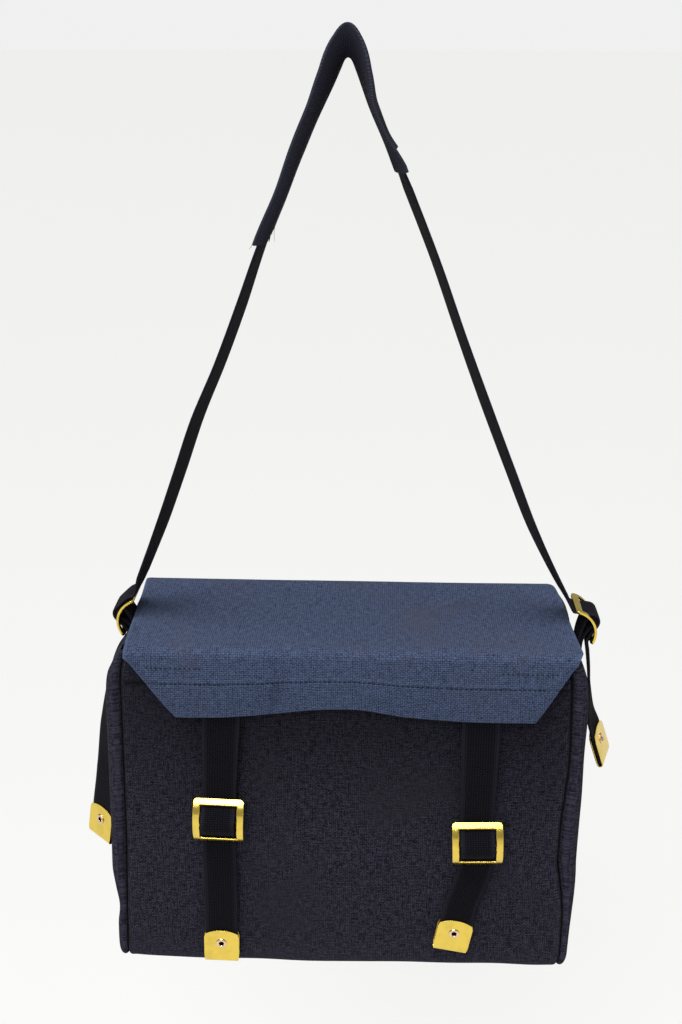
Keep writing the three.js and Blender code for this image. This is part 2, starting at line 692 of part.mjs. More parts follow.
// The rivet's axis through a strap's end: the drill that makes room for it, or the rivet.
function onRivetAxis(geometry, end) {
  const out = new THREE.Vector3().crossVectors(end.side, end.tangent).normalize();
  const place = end.point.clone().addScaledVector(end.tangent, -RIVET_FROM_END + tipNose());
  const basis = new THREE.Matrix4().makeBasis(end.side, out, new THREE.Vector3().crossVectors(end.side, out));
  return geometry.applyMatrix4(basis.setPosition(place));
}

function tipNose() {
  return TIP_SPARE + WEBBING / 2 + GAP + TIP_SHEET;
}

function drill(end) {
  const bore = new THREE.CylinderGeometry(RIVET_TUBE + GAP, RIVET_TUBE + GAP, 12, 10);
  return onRivetAxis(bore, end);
}

function buildRivet(name, end) {
  const seat = WEBBING / 2 + GAP + TIP_SHEET + GAP;
  const head = seat + RIVET_LIP;
  const outline = [
    [RIVET_BORE, -head], [RIVET_FLANGE - 0.3, -head], [RIVET_FLANGE, -seat], [RIVET_TUBE, -seat],
    [RIVET_TUBE, seat], [RIVET_FLANGE, seat], [RIVET_FLANGE - 0.3, head], [RIVET_BORE, head],
    [RIVET_BORE, -head],
  ].map(([x, y]) => new THREE.Vector2(x, y));
  add(name, closed(onRivetAxis(new THREE.LatheGeometry(outline, 10), end)), BRASS_LOOK);
}

// A tip is a sheet folded round the strap's end, with an arched upper edge on both sides.
function buildTip(name, end) {
  const lift = WEBBING / 2 + GAP + TIP_SHEET / 2;
  const length = TIP_LENGTH - tipNose();
  const half = WEBBING_WIDTH / 2 + 0.5;
  const out = new THREE.Vector3().crossVectors(end.side, end.tangent).normalize();
  const plate = [1, 0];
  const profile = plate.map((share) => ({ share, back: share * length, height: lift }));
  for (const angle of [45, 90, 135]) {
    const back = -TIP_SPARE - lift * Math.sin(angle * RADIANS);
    profile.push({ share: 0, back, height: lift * Math.cos(angle * RADIANS) });
  }
  profile.push(...plate.map((share) => ({ share, back: share * length, height: -lift })).reverse());
  const grid = profile.map(({ share, back, height }) => spread(-1, 1, 4).map((across) => {
    const arch = share === 1 ? TIP_ARCH * across ** 2 : 0;
    const flat = share === 0 && back === 0 ? -TIP_SPARE : back - arch;
    return end.point.clone()
      .addScaledVector(end.side, across * half)
      .addScaledVector(end.tangent, -flat)
      .addScaledVector(out, height);
  }));
  add(name, cut(wall(grid, TIP_SHEET / 2, -TIP_SHEET / 2), drill(end)), BRASS_LOOK);
}

// The front panel's outer face at a place across and a height.
function panelFront(x, z) {
  const level = (MOUTH - z) / BAG_HEIGHT;
  const table = x < 0 ? GUSSET_LEFT : GUSSET_RIGHT;
  return -HALF_DEPTH - proud(Math.abs(x) / seamAt(table, level), { ny: -1, level });
}

function buildFrontStrap(hand, place, form) {
  const x = place.centre * HALF_WIDTH;
  const z = MOUTH - place.level * BAG_HEIGHT;
  const { near, thread } = FRONT_KIND;
  const stand = (PAIR + CHAPE) / 2 + 2 * GAP - FRONT_KIND.lead.out;
  const down = new THREE.Vector3(Math.sin(place.turn * RADIANS), 0, -Math.cos(place.turn * RADIANS));
  const out = new THREE.Vector3(0, -1, 0);
  const frame = buckleFrame(new THREE.Vector3(x, panelFront(x, z) - stand, z), down, out);
  buildBuckle(`front_buckle_${hand}`, frame, FRONT_KIND);

  const seatOff = GAP + CHAPE + GAP / 2;
  const rest = (reach) => {
    const point = inFrame(frame, 0, reach, 0);
    point.y = panelFront(point.x, point.z) - seatOff;
    return point;
  };
  const lead = inFrame(frame, 0, FRONT_KIND.lead.down, FRONT_KIND.lead.out);
  const seat = [rest(FRONT_CHAPE_REACH), rest(FRONT_CHAPE_REACH * 0.8), rest(FRONT_CHAPE_REACH * 0.64), lead];
  buildChape(`front_chape_${hand}`, seat, frame);

  const points = [];
  const topX = place.top * HALF_WIDTH;
  const under = 2 * GAP + WEBBING / 2;
  const rows = FLAP_LINE.filter(({ row }) => row >= 11 && row <= 14.5);
  rows.forEach((station) => {
    const here = flapPoint(station, acrossFlap(station, topX));
    const below = FLAP_LINE[FLAP_LINE.indexOf(station) + 1];
    const next = flapPoint(below, acrossFlap(below, topX));
    const fall = new THREE.Vector3(0, next.y - here.y, next.z - here.z).normalize();
    const inward = new THREE.Vector3(0, -fall.z, fall.y);
    const point = here.clone().addScaledVector(inward, under);
    point.x = topX;
    points.push({ point, scale: 1.09 });
  });
  const lastUnder = points[points.length - 1].point;
  const top = inFrame(frame, 0, thread[0].down, thread[0].out);
  const between = (share, swell, scale) => {
    const point = new THREE.Vector3().lerpVectors(lastUnder, top, share);
    point.y = lerp(lastUnder.y, top.y, smooth(share)) - swell * WEBBING;
    return { point, scale };
  };
  points.push(between(0.3, 0.9, 1.07), between(0.55, 0.8, 1.02), between(0.8, 0.25, 0.98));
  thread.forEach(({ down: along, out: off }) => {
    points.push({ point: inFrame(frame, 0, along, off), scale: 0.97 });
  });
  const exit = inFrame(frame, 0, near.down, near.out);
  form.forEach((row) => {
    const height = exit.z - row.along * place.tail;
    const aside = exit.x + row.aside * place.tail;
    const point = new THREE.Vector3(aside, panelFront(aside, height) - row.off * WEBBING, height);
    points.push({ point, scale: 0.98 });
  });
  const threadEnd = points.length - form.length - 1;
  const counts = (k) => (k >= threadEnd && k < threadEnd + 2 ? 2 : 1);
  const stations = stationsAlong(points, frame.side, WEBBING_WIDTH, counts);
  const laid = withEnd(stations, TIP_LENGTH - tipNose() - 1);
  const end = laid[laid.length - 1];
  add(`front_strap_${hand}`, cut(webbing(laid, WEBBING), drill(end)), WEBBING_LOOK);
  buildTip(`front_tip_${hand}`, end);
  buildRivet(`front_rivet_${hand}`, end);
}

function sideFrame(side) {
  const tilt = side.tilt * RADIANS;
  const down = new THREE.Vector3(side.sign * Math.sin(tilt), 0, -Math.cos(tilt));
  const out = new THREE.Vector3(side.sign * Math.cos(tilt), 0, Math.sin(tilt));
  const x = side.sign * (HALF_WIDTH * (1 + side.out) + 2 * CHAPE);
  return buckleFrame(new THREE.Vector3(x, 0, MOUTH - SIDE_BUCKLE_LEVEL * BAG_HEIGHT), down, out);
}

// Where a leg's inner side leaves the hook and the way it runs down to its buckle.
function legLine(side) {
  const frame = sideFrame(side);
  const { thread } = sideKind(side);
  const entry = inFrame(frame, 0, thread[0].down, thread[0].out);
  const start = new THREE.Vector3(side.sign * 3, 0, -4);
  const off = SHOULDER + GAP + WEBBING / 2;
  let along = new THREE.Vector3().subVectors(entry, start).normalize();
  let out = new THREE.Vector3();
  for (let i = 0; i < 3; i += 1) {
    out = new THREE.Vector3(-along.z * side.sign, 0, along.x * side.sign);
    along = new THREE.Vector3().subVectors(entry, start).addScaledVector(out, -off).normalize();
  }
  const total = entry.clone().sub(start).addScaledVector(out, -off).dot(along);
  return { start, along, out, off, entry, total, bow: side.bow };
}

// A point on the inner side of a leg, with the leg's slight bow.
function onLeg(leg, distance) {
  const bow = STRAP_DROP * readTable(leg.bow, 'along', distance / leg.total, 'bow');
  return leg.start.clone().addScaledVector(leg.along, distance).addScaledVector(leg.out, bow);
}

function buildShoulder() {
  const legs = { left: legLine(SIDE_LEFT), right: legLine(SIDE_RIGHT) };
  const half = SHOULDER_WIDTH / 2;
  const cupAt = (from, column) => readTable(SHOULDER_CUP, 'from', from / SHOULDER_LEFT, column);
  const lead = legs.left.start.length();
  const distances = [
    ...[1, 0.8, 0.6, 0.42, 0.28, 0.17, 0.09].map((share) => -share * SHOULDER_LEFT),
    -lead, 0, lead,
    ...[0.17, 0.3, 0.46, 0.7, 1].map((share) => share * SHOULDER_RIGHT),
  ];
  const columns = [0, 0.25, 0.5, 0.75, 1];
  const grid = distances.map((from) => {
    const leg = from < 0 ? legs.left : legs.right;
    const away = Math.abs(from);
    const bend = away < lead
      ? leg.start.clone().multiplyScalar(away / lead).setZ(leg.start.z * (away / lead) ** 2)
      : onLeg(leg, away - lead);
    const turn = cupAt(from, 'turn');
    const up = leg.out.clone().lerp(new THREE.Vector3(0, 0, 1), turn).normalize();
    const flat = cupAt(from, 'flat') * half;
    const curved = cupAt(from, 'bend') * half;
    const lip = cupAt(from, 'lip') * RADIANS;
    const section = [];
    let depth = 0;
    let rise = 0;
    let reached = 0;
    columns.forEach((share) => {
      const target = share * half;
      const steps = 8;
      for (let n = 0; n < steps; n += 1) {
        const at = reached + (target - reached) * ((n + 0.5) / steps);
        const angle = lip * smooth((at - flat) / curved);
        depth += Math.cos(angle) * (target - reached) / steps;
        rise += Math.sin(angle) * (target - reached) / steps;
      }
      reached = target;
      section.push({ depth, rise });
    });
    const points = (sign) => section.map(({ depth: y, rise: z }) => bend.clone()
      .addScaledVector(up, z).add(new THREE.Vector3(0, sign * y, 0)));
    return [...points(-1).reverse(), ...points(1).slice(1)];
  });
  const upward = gridNormals(grid)[8][4].z > 0;
  const [above, below] = upward ? [SHOULDER, 0] : [0, -SHOULDER];
  add('shoulder_piece', wall(grid, above, below), WEBBING_LOOK);
}

function buildSideStrap(hand, side, length) {
  const frame = sideFrame(side);
  const leg = legLine(side);
  const kind = sideKind(side);
  buildBuckle(`side_buckle_${hand}`, frame, kind);

  const face = (z) => new THREE.Vector3(
    side.sign * (gussetFace(side, z) + GAP * 2 + CHAPE + GAP / 2), 0, z);
  const { near, thread } = kind;
  const lead = inFrame(frame, 0, kind.lead.down, kind.lead.out);
  const low = lead.z - SIDE_CHAPE_REACH;
  const rests = [low, lerp(low, lead.z, 0.33), lerp(low, lead.z, side.sign < 0 ? 0.68 : 0.45)];
  buildChape(`side_chape_${hand}`, [...rests.map(face), lead], frame);

  const lapStart = length - SHOULDER_LAP - leg.start.length();
  const points = [];
  spread(lapStart, leg.total - 12, 7).forEach((distance) => {
    const share = (distance - lapStart) / (leg.total - lapStart);
    const held = smooth((distance - length) / 30);
    const twist = held * readTable(LEG_TWIST, 'along', share, 'twist') * -side.sign;
    points.push({ point: onLeg(leg, distance).addScaledVector(leg.out, leg.off), twist });
  });
  thread.forEach(({ down, out }) => {
    points.push({ point: inFrame(frame, 0, down, out), scale: 0.98 });
  });
  const exit = inFrame(frame, 0, near.down, near.out);
  side.form.forEach((row) => {
    const point = new THREE.Vector3(side.sign * row.out * side.tail, 0, -row.along * side.tail).add(exit);
    points.push({ point, twist: row.twist });
  });
  const legEnd = 8;
  const counts = (k) => (k < legEnd + thread.length - 1 ? 1 : 2);
  const stations = stationsAlong(points, new THREE.Vector3(0, 1, 0), WEBBING_WIDTH, counts);
  const laid = withEnd(stations, TIP_LENGTH - tipNose() - 1);
  const end = laid[laid.length - 1];
  add(`strap_${hand}`, cut(webbing(laid, WEBBING), drill(end)), WEBBING_LOOK);
  buildTip(`side_tip_${hand}`, end);
  buildRivet(`side_rivet_${hand}`, end);
}

buildBodyPanel();
buildGusset('gusset_left', SIDE_LEFT);
buildGusset('gusset_right', SIDE_RIGHT);
buildFlap();
buildFrontStrap('left', FRONT_LEFT, FRONT_TAIL_LEFT_FORM);
buildFrontStrap('right', FRONT_RIGHT, FRONT_TAIL_RIGHT_FORM);
buildShoulder();
buildSideStrap('left', SIDE_LEFT, SHOULDER_LEFT);
buildSideStrap('right', SIDE_RIGHT, SHOULDER_RIGHT);

export default haversack;
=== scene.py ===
"""Canvas haversack hanging by its shoulder strap, built as surfaces worked out with numpy."""
import math

import bmesh
import bpy
import numpy as np
from bpy.props import FloatProperty, FloatVectorProperty, PointerProperty
from mathutils import Matrix


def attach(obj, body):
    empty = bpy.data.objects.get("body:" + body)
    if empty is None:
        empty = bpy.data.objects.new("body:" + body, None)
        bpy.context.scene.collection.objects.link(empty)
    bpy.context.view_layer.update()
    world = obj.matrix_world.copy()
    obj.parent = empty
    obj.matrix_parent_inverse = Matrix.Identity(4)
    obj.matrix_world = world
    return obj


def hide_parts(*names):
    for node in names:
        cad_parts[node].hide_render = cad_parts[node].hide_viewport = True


bl_info = {
    "name": "Canvas Haversack",
    "version": (1, 0, 0),
    "blender": (4, 5, 0),
    "location": "View3D > Sidebar > Haversack",
    "description": "Builds a small canvas shoulder bag with webbing straps and brass buckles",
    "category": "Add Mesh",
}

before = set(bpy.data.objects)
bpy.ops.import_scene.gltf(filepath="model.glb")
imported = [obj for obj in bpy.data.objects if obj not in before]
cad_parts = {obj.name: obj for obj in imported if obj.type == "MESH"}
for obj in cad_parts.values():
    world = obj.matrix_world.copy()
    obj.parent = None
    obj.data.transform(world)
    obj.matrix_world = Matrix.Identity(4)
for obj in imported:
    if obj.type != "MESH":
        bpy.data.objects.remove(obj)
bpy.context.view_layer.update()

MM = 0.001
GAP = 0.3  # clear space between neighbours, in millimetres
SEAM_GAP = GAP * 0.7  # from the seam line to the cloth on either side
RAD = math.pi / 180
UP = np.array([0.0, 0.0, 1.0])
DEPTHWISE = np.array([0.0, 1.0, 0.0])

# ---------------------------------------------------------------- named tables
# Gussets: level below the mouth as a share of the height, then shares of half the width.
GUSSET_LEFT = np.array([
    [0.0, 0.949, 0.031, 0.03], [0.036, 0.967, 0.043, 0.055], [0.078, 0.979, 0.061, 0.065],
    [0.115, 0.981, 0.068, 0.06], [0.165, 0.982, 0.072, 0.032], [0.35, 0.988, 0.072, 0.018],
    [0.6, 0.996, 0.074, 0.018], [0.69, 1.003, 0.071, 0.018], [0.75, 1.007, 0.056, 0.016],
    [0.82, 1.012, 0.036, 0.011], [0.88, 1.015, 0.045, 0.014], [0.94, 1.019, 0.043, 0.007],
    [1.0, 1.021, 0.031, 0.0]])
GUSSET_RIGHT = np.array([
    [0.0, 0.961, 0.043, 0.002], [0.036, 0.978, 0.065, 0.014], [0.078, 0.994, 0.069, 0.022],
    [0.16, 0.999, 0.076, 0.022], [0.3, 1.006, 0.065, 0.018], [0.42, 0.996, 0.078, 0.018],
    [0.5, 0.986, 0.087, 0.022], [0.63, 0.983, 0.088, 0.022], [0.69, 0.997, 0.076, 0.018],
    [0.76, 1.013, 0.056, 0.014], [0.84, 1.022, 0.039, 0.011], [0.94, 1.022, 0.033, 0.007],
    [1.0, 1.007, 0.031, 0.0]])
WALL_LEVELS = np.array([0, 0.04, 0.08, 0.12, 0.17, 0.26, 0.38, 0.52, 0.64, 0.74, 0.85, 0.93, 1])

# Soft waves of the cloth: seed, wavelength and height of each.
BODY_WAVES = ((3, 95, 0.75), (8, 34, 0.16))
FLAP_WAVES = ((14, 88, 0.8), (31, 30, 0.17))
SHOULDER_WAVES = ((44, 40, 0.3),)

# Flap profile: shares of half the depth, of the drop and of the flare.
FLAP_PROFILE = np.array([
    [1, -0.68, 0.17], [1, -0.3, 0.17], [0.99, 0.0, 0.17], [0.94, 0.115, 0.1], [0.82, 0.145, 0],
    [0.5, 0.115, 0], [0, 0.085, 0], [-0.5, 0.065, 0], [-0.8, 0.07, 0], [-0.96, 0.062, -0.1],
    [-1, 0.005, -0.45], [-1, -0.12, -0.68], [-1, -0.33, -0.92], [-1, -0.56, -1.1],
    [-1, -0.79, -1.24], [-1, -1, -1.35]])
FLAP_EDGES = np.array([
    [0, 0.974, 0.962], [3, 0.978, 0.967], [5, 0.97, 1.0], [7, 0.962, 1.022], [9, 0.953, 1.033],
    [10.6, 0.954, 1.008], [15, 0.727, 0.833]])
FLAP_HEM = np.array([
    [-1, 1.0], [-0.73, 1.0], [-0.4, 0.955], [-0.1, 0.82], [0.03, 0.8], [0.29, 0.93],
    [0.55, 0.985], [1, 0.98]])

FLAP_ROWS = len(FLAP_PROFILE) - 1
FLAP_FLARE, FLAP_SAG, FRONT_EDGE_ROW, TURN_WIDTH = 8, 2.5, 10.6, 7
STITCH_LINE = 1.6  # from the hem's upper edge down to its stitches
# Creases of the flap: height, place across, width, first row and rows to full height.
FLAP_CREASES = ((-0.8, -38, 9, 7, 4), (0.7, -73, 13, 9, 3), (0.7, 82, 14, 9, 3))
CREASE_SLANT, CREASE_RUN = 0.25, 150

# Shoulder piece: place, then flat, bend, lip angle and turn.
SHOULDER_CUP = np.array([
    [-1, 0.45, 0.4, 45, 0], [-0.75, 0.42, 0.4, 34, 0], [-0.5, 0.3, 0.45, 30, 0],
    [-0.3, 0.15, 0.5, 25, 0.08], [-0.15, 0.05, 0.6, 36, 0.45], [-0.04, 0, 0.62, 70, 0.88],
    [0, 0, 0.62, 77, 1], [0.04, 0, 0.62, 66, 0.88], [0.15, 0.05, 0.6, 26, 0.45],
    [0.28, 0.3, 0.5, 12, 0.08], [0.42, 0.45, 0.4, 16, 0], [0.6, 0.45, 0.4, 45, 0]])

# Hanging ends: along and out or aside as shares of the end's length, then twist or stand-off.
TAIL_LEFT = [(0.06, 0.024, 0), (0.15, 0.075, -5), (0.325, 0.118, -15), (0.555, 0.143, -36),
             (0.8, 0.162, -48), (1, 0.19, -50)]
TAIL_RIGHT = [(0.1, 0.018, 2), (0.27, 0.042, 4), (0.62, 0.078, 9), (0.86, 0.108, 16),
              (1, 0.155, 20)]
FRONT_TAIL_LEFT = [(0.1, 0.0, 3.2), (0.35, -0.002, 3.0), (0.7, -0.006, 2.4), (1, -0.012, 2.3)]
FRONT_TAIL_RIGHT = [(0.12, -0.02, 3.2), (0.4, -0.09, 3.0), (0.75, -0.19, 2.4), (1, -0.235, 2.3)]
BOW_LEFT = np.array([[0, 0], [0.12, 0.008], [0.32, 0.01], [0.5, 0.004], [0.62, 0.008], [0.82, 0]])
BOW_RIGHT = np.array([[0, 0], [0.28, 0], [0.46, -0.007], [0.66, -0.013], [0.85, -0.015],
                      [0.93, -0.01], [1, 0]])
LEG_TWIST = np.array([[0, 12], [0.35, 12], [0.55, 15], [0.75, 15], [0.92, 13], [1, 6]])

SIDES = {
    "left": dict(sign=-1, out=0.0109, tilt=16, over_top=True, gusset=GUSSET_LEFT, seed=20,
                 tail=135, form=TAIL_LEFT, bow=BOW_LEFT, shoulder=106, drape=0.68),
    "right": dict(sign=1, out=0.0949, tilt=26, over_top=False, gusset=GUSSET_RIGHT, seed=22,
                  tail=66, form=TAIL_RIGHT, bow=BOW_RIGHT, shoulder=62, drape=0.45),
}
FRONTS = {
    "left": dict(centre=-0.555, level=0.489, top=-0.527, turn=-1.8, tail=72, form=FRONT_TAIL_LEFT),
    "right": dict(centre=0.607, level=0.546, top=0.602, turn=2.0, tail=47, form=FRONT_TAIL_RIGHT),
}
SIDE_BUCKLE_LEVEL = -0.027
FRONT_CHAPE, SIDE_CHAPE, SHOULDER_LAP = 24, 34, 28
FRONT_BUCKLE = dict(width=31.5, chord=31, rise=6)
SIDE_BUCKLE = dict(width=29, chord=26, rise=7)
BUCKLE_CORNER = 2.4
TIP_SPARE, TIP_ARCH, TIP_CROWN, RIVET_FROM_END, RIVET_HOLE = 0.5, 3.0, 0.22, 15, 2.3
CHAPE_STEP, STRAP_STEP, ROW_STEP = 0.42, 0.36, 2.6
WEAVE_PITCH = 1.3
PICK, SELVEDGE = 1.25, 0.16  # spacing and depth of the scallops along a webbing's edge
STITCH = dict(length=1.612, thick=0.32, flat=0.75, pitch=2.9)
FLOOR_LEVEL = -1150.0
CAMERA = dict(place=(24.0, -763.9, 13.65), lens=46.406, right=(0.9993, 0.0365, 0.002),
              up=(-0.0144, 0.3418, 0.9397), forward=(-0.0336, 0.9391, -0.3421))
LAMPS = (("soft_top", "SUN", (-300, -320, 1900), (0, 0, 0), 40, 4.3),
         ("soft_front", "AREA", (-250, -1550, 900), (0, 300, -500), 850, 20))


# ---------------------------------------------------------------- sizes and colours
def length(name, default, text):
    """One settable length, given in millimetres and kept in metres."""
    return FloatProperty(name=name, description=text, default=default * MM, unit="LENGTH",
                         precision=4)


def colour(name, default, text):
    """One settable colour."""
    return FloatVectorProperty(name=name, description=text, default=default, subtype="COLOR",
                               size=3, min=0, max=1)


class HaversackSizes(bpy.types.PropertyGroup):
    """Sizes of the bag and its straps."""
    bag_width: length("Bag width", 277, "Width of the front panel between its seams")
    bag_height: length("Bag height", 226, "Height from the mouth to the floor")
    bag_depth: length("Bag depth", 102, "Depth from front to back")
    strap_drop: length("Strap drop", 337, "From where the strap hangs down to the mouth")
    canvas: length("Canvas", 1.4, "Thickness of the canvas")
    corner: length("Corner radius", 9, "Radius of the lower edges")
    hem: length("Mouth hem", 20, "Height of the hem at the mouth")
    flap_drop: length("Flap drop", 38, "How far the flap hangs over the front")
    flap_hem: length("Flap hem", 23, "Width of the flap's stitched hem")
    webbing: length("Webbing", 1.8, "Thickness of the narrow webbing")
    webbing_width: length("Webbing width", 21.5, "Width of the narrow webbing")
    shoulder_width: length("Shoulder width", 50.8, "Width of the shoulder piece laid flat")
    brass: length("Brass", 1.6, "Thickness of the buckle plate")


class HaversackColours(bpy.types.PropertyGroup):
    """Colours of the cloth and the metal."""
    # Canvas and Flap are one cloth in two copies: Canvas is painted darker, as in shade, and Flap is
    # painted lighter and bluer, as in light.
    canvas: colour("Canvas", (0.0122, 0.0116, 0.0195), "Front, back and gussets")
    flap: colour("Flap", (0.031, 0.043, 0.080), "Flap")
    webbing: colour("Webbing", (0.0021, 0.0018, 0.0034), "Straps and chapes")
    thread: colour("Thread", (0.004, 0.004, 0.007), "Stitching")
    brass: colour("Brass", (0.80, 0.585, 0.105), "Buckles and tips")
    rivet: colour("Rivets", (0.80, 0.58, 0.36), "Hollow rivets")
    floor: colour("Floor", (0.52, 0.52, 0.515), "Floor of the studio")


class Plan:
    """The sizes in millimetres, with what follows from them."""

    def __init__(self):
        group = bpy.context.scene.haversack_sizes
        for key in group.__annotations__:
            setattr(self, key, getattr(group, key) / MM)
        self.half = self.bag_width / 2
        self.deep = self.bag_depth / 2
        self.mouth = -self.strap_drop
        self.floor = self.mouth - self.bag_height
        self.allowance = 7.5
        self.turn = 2.2
        self.chape = 1.6
        self.chape_width = 20.0
        self.shoulder = 2.0
        self.bar = 4.4
        self.middle = 3.2
        self.setback = 1.2
        self.window = 22.8
        self.tip = 25.0
        self.tip_sheet = 0.8
        self.bar_depth = self.setback + self.brass / 2
        self.loop = math.hypot(self.middle, self.brass) / 2 + GAP + self.chape / 2
        self.over = self.loop + self.chape / 2 + GAP + self.webbing / 2
        self.pair = self.chape + GAP
        self.clear = self.webbing / 2 + GAP + self.chape / 2 + self.pair / 2 + 3 * GAP
        self.nose = TIP_SPARE + self.webbing / 2 + GAP + self.tip_sheet

    def seam(self, table, level):
        """Half width of a seam line at a level, read smoothly from its table."""
        return self.half * smooth_read(table, level, 1)

    def roll(self, table, level):
        """How far the gusset's roll stands beyond the seam, never thinner than the folded cloth."""
        return np.maximum(self.half * smooth_read(table, level, 2), 3 * self.canvas)

    def proud(self, share, level, upright):
        """Panel bulge: 1 minus the share's fourth power, times a half wave down the height."""
        across = 1 - np.abs(share) ** 4
        wave = np.sin(np.pi * np.minimum(1, level / 0.96))
        return across * (upright * 2 * wave + (1 - upright) * 1.5)

    def front_at(self, x, z):
        """Y of the front panel's outer face."""
        level = (self.mouth - z) / self.bag_height
        table = GUSSET_LEFT if x < 0 else GUSSET_RIGHT
        edge = self.half * plain_read(table, level, 1)
        return -self.deep - float(self.proud(abs(x) / edge, level, 1.0))

    def side_at(self, side, z, smooth=False):
        """X distance of the gusset's middle line at a height."""
        drop = self.bag_height - self.deep

        def face(height):
            level = (self.mouth - height) / self.bag_height
            read = smooth_read if smooth else plain_read
            table = side["gusset"]
            roll = np.maximum(self.half * read(table, level, 2), 3 * self.canvas)
            return self.half * read(table, level, 1) + roll - self.half * read(table, level, 3)
        if smooth:
            return face(z)
        heights = (self.mouth - WALL_LEVELS * drop)[::-1]
        return np.interp(z, heights, face(heights))


# ---------------------------------------------------------------- reading tables and curves
def plain_read(table, at, column):
    """Straight-line reading of a table's column."""
    return np.interp(at, table[:, 0], table[:, column])


def smooth_read(table, at, column):
    """Cubic Hermite reading: each slope is the harmonic mean of its two neighbours, and zero
    where they differ in sign, so the curve never overshoots."""
    x, y = table[:, 0], table[:, column]
    step = np.diff(x)
    rise = np.diff(y) / step
    slope = np.zeros(len(x))
    same = rise[:-1] * rise[1:] > 0
    total = np.where(same, rise[:-1] + rise[1:], 1)
    slope[1:-1] = np.where(same, 2 * rise[:-1] * rise[1:] / total, 0)
    slope[0], slope[-1] = rise[0], rise[-1]
    at = np.clip(at, x[0], x[-1])
    i = np.clip(np.searchsorted(x, at) - 1, 0, len(step) - 1)
    t = (at - x[i]) / step[i]
    return ((1 + 2 * t) * (1 - t) ** 2 * y[i] + t * (1 - t) ** 2 * step[i] * slope[i]
            + t * t * (3 - 2 * t) * y[i + 1] + t * t * (t - 1) * step[i] * slope[i + 1])


def ease(t):
    """Smooth step from 0 to 1."""
    t = np.clip(t, 0, 1)
    return t * t * (3 - 2 * t)


def unit(v):
    """Vectors divided by their lengths."""
    return v / np.maximum(np.linalg.norm(v, axis=-1, keepdims=True), 1e-12)


def curve_at(points, at):
    """Centripetal Catmull-Rom curve: between two points, a cubic whose end slopes are weighted by
    the square roots of the neighbouring distances. Gives points and tangents at row numbers."""
    p = np.asarray(points, float)
    p = np.vstack([2 * p[0] - p[1], p, 2 * p[-1] - p[-2]])
    i = np.clip(np.floor(at).astype(int), 0, len(points) - 2)
    w = (at - i)[:, None]
    x0, x1, x2, x3 = p[i], p[i + 1], p[i + 2], p[i + 3]
    d0, d1, d2 = (np.sqrt(np.linalg.norm(b - a, axis=1))[:, None]
                  for a, b in ((x0, x1), (x1, x2), (x2, x3)))
    t1 = ((x1 - x0) / d0 - (x2 - x0) / (d0 + d1) + (x2 - x1) / d1) * d1
    t2 = ((x2 - x1) / d1 - (x3 - x1) / (d1 + d2) + (x3 - x2) / d2) * d1
    c2, c3 = 3 * (x2 - x1) - 2 * t1 - t2, 2 * (x1 - x2) + t1 + t2
    return x1 + t1 * w + c2 * w ** 2 + c3 * w ** 3, unit(t1 + 2 * c2 * w + 3 * c3 * w ** 2)


def run_along(points):
    """Running length at each point of a line."""
    return np.concatenate([[0], np.cumsum(np.linalg.norm(np.diff(points, axis=0), axis=1))])


def even_rows(points, step):
    """Row numbers along a curve, spaced by nearly equal lengths, with the length at each."""
    fine = np.linspace(0, len(points) - 1, 60 * (len(points) - 1) + 1)
    run = run_along(curve_at(points, fine)[0])
    along = np.linspace(0, run[-1], max(2, int(round(run[-1] / step)) + 1))
    return np.interp(along, run, fine), along


def hump(at, centre, width):
    """Bell curve: e to the power of minus the square of the distance over the width."""
    return np.exp(-((at - centre) / width) ** 2)


def ripples(u, v, seed, wavelength, height):
    """Soft uneven surface: a sum of seven sine waves with seeded directions and phases."""
    draw = np.random.RandomState(seed)
    total = np.zeros(np.broadcast(u, v).shape)
    for _ in range(7):
        angle, phase = draw.uniform(0, np.pi), draw.uniform(0, 2 * np.pi)
        size = draw.uniform(0.7, 1.5) * wavelength
        along = u * math.cos(angle) + v * math.sin(angle)
        total += np.sin(2 * np.pi * along / size + phase)
    return total * height / 3.5


def waves(u, v, table):
    """The sum of a table's ripples."""
    return sum(ripples(u, v, *row) for row in table)


def turned(v, axis, angle):
    """Vectors turned about unit axes by angles in radians (Rodrigues' rule)."""
    c, s = np.cos(angle)[..., None], np.sin(angle)[..., None]
    return v * c + np.cross(axis, v) * s + axis * (v * axis).sum(-1, keepdims=True) * (1 - c)


# ---------------------------------------------------------------- meshes
def grid_normals(grid):
    """Unit normals of a grid, from the cross product of its differences along rows and columns."""
    return unit(np.cross(np.gradient(grid, axis=0), np.gradient(grid, axis=1)))


def facing(grid, cell, direction):
    """A grid's normals, turned so that the one at a cell points along the direction."""
    normals = grid_normals(grid)
    return normals if normals[cell] @ direction > 0 else -normals


def shell(outer, inner, open_cells=None, open_end=False):
    """A wall between two grids: both faces, and rims wherever a cell has no neighbour."""
    rows, columns = outer.shape[:2]
    index = np.arange(rows * columns).reshape(rows, columns)
    there = np.ones((rows - 1, columns - 1), bool) if open_cells is None else ~open_cells
    corner = [index[:-1, :-1], index[1:, :-1], index[1:, 1:], index[:-1, 1:]]
    face = np.stack(corner, -1)[there]
    count = rows * columns
    faces = [face, face[:, ::-1] + count]
    padded = np.pad(there, 1)
    beside = [padded[1:-1, :-2], padded[2:, 1:-1], padded[1:-1, 2:], padded[:-2, 1:-1]]
    for side in range(4):
        edge = there & ~beside[side]
        if open_end and side == 2:
            edge[:, -1] = False
        a, b = corner[side][edge], corner[(side + 1) % 4][edge]
        faces.append(np.stack([b, a, a + count, b + count], -1))
    return np.vstack([outer.reshape(-1, 3), inner.reshape(-1, 3)]), np.vstack(faces)


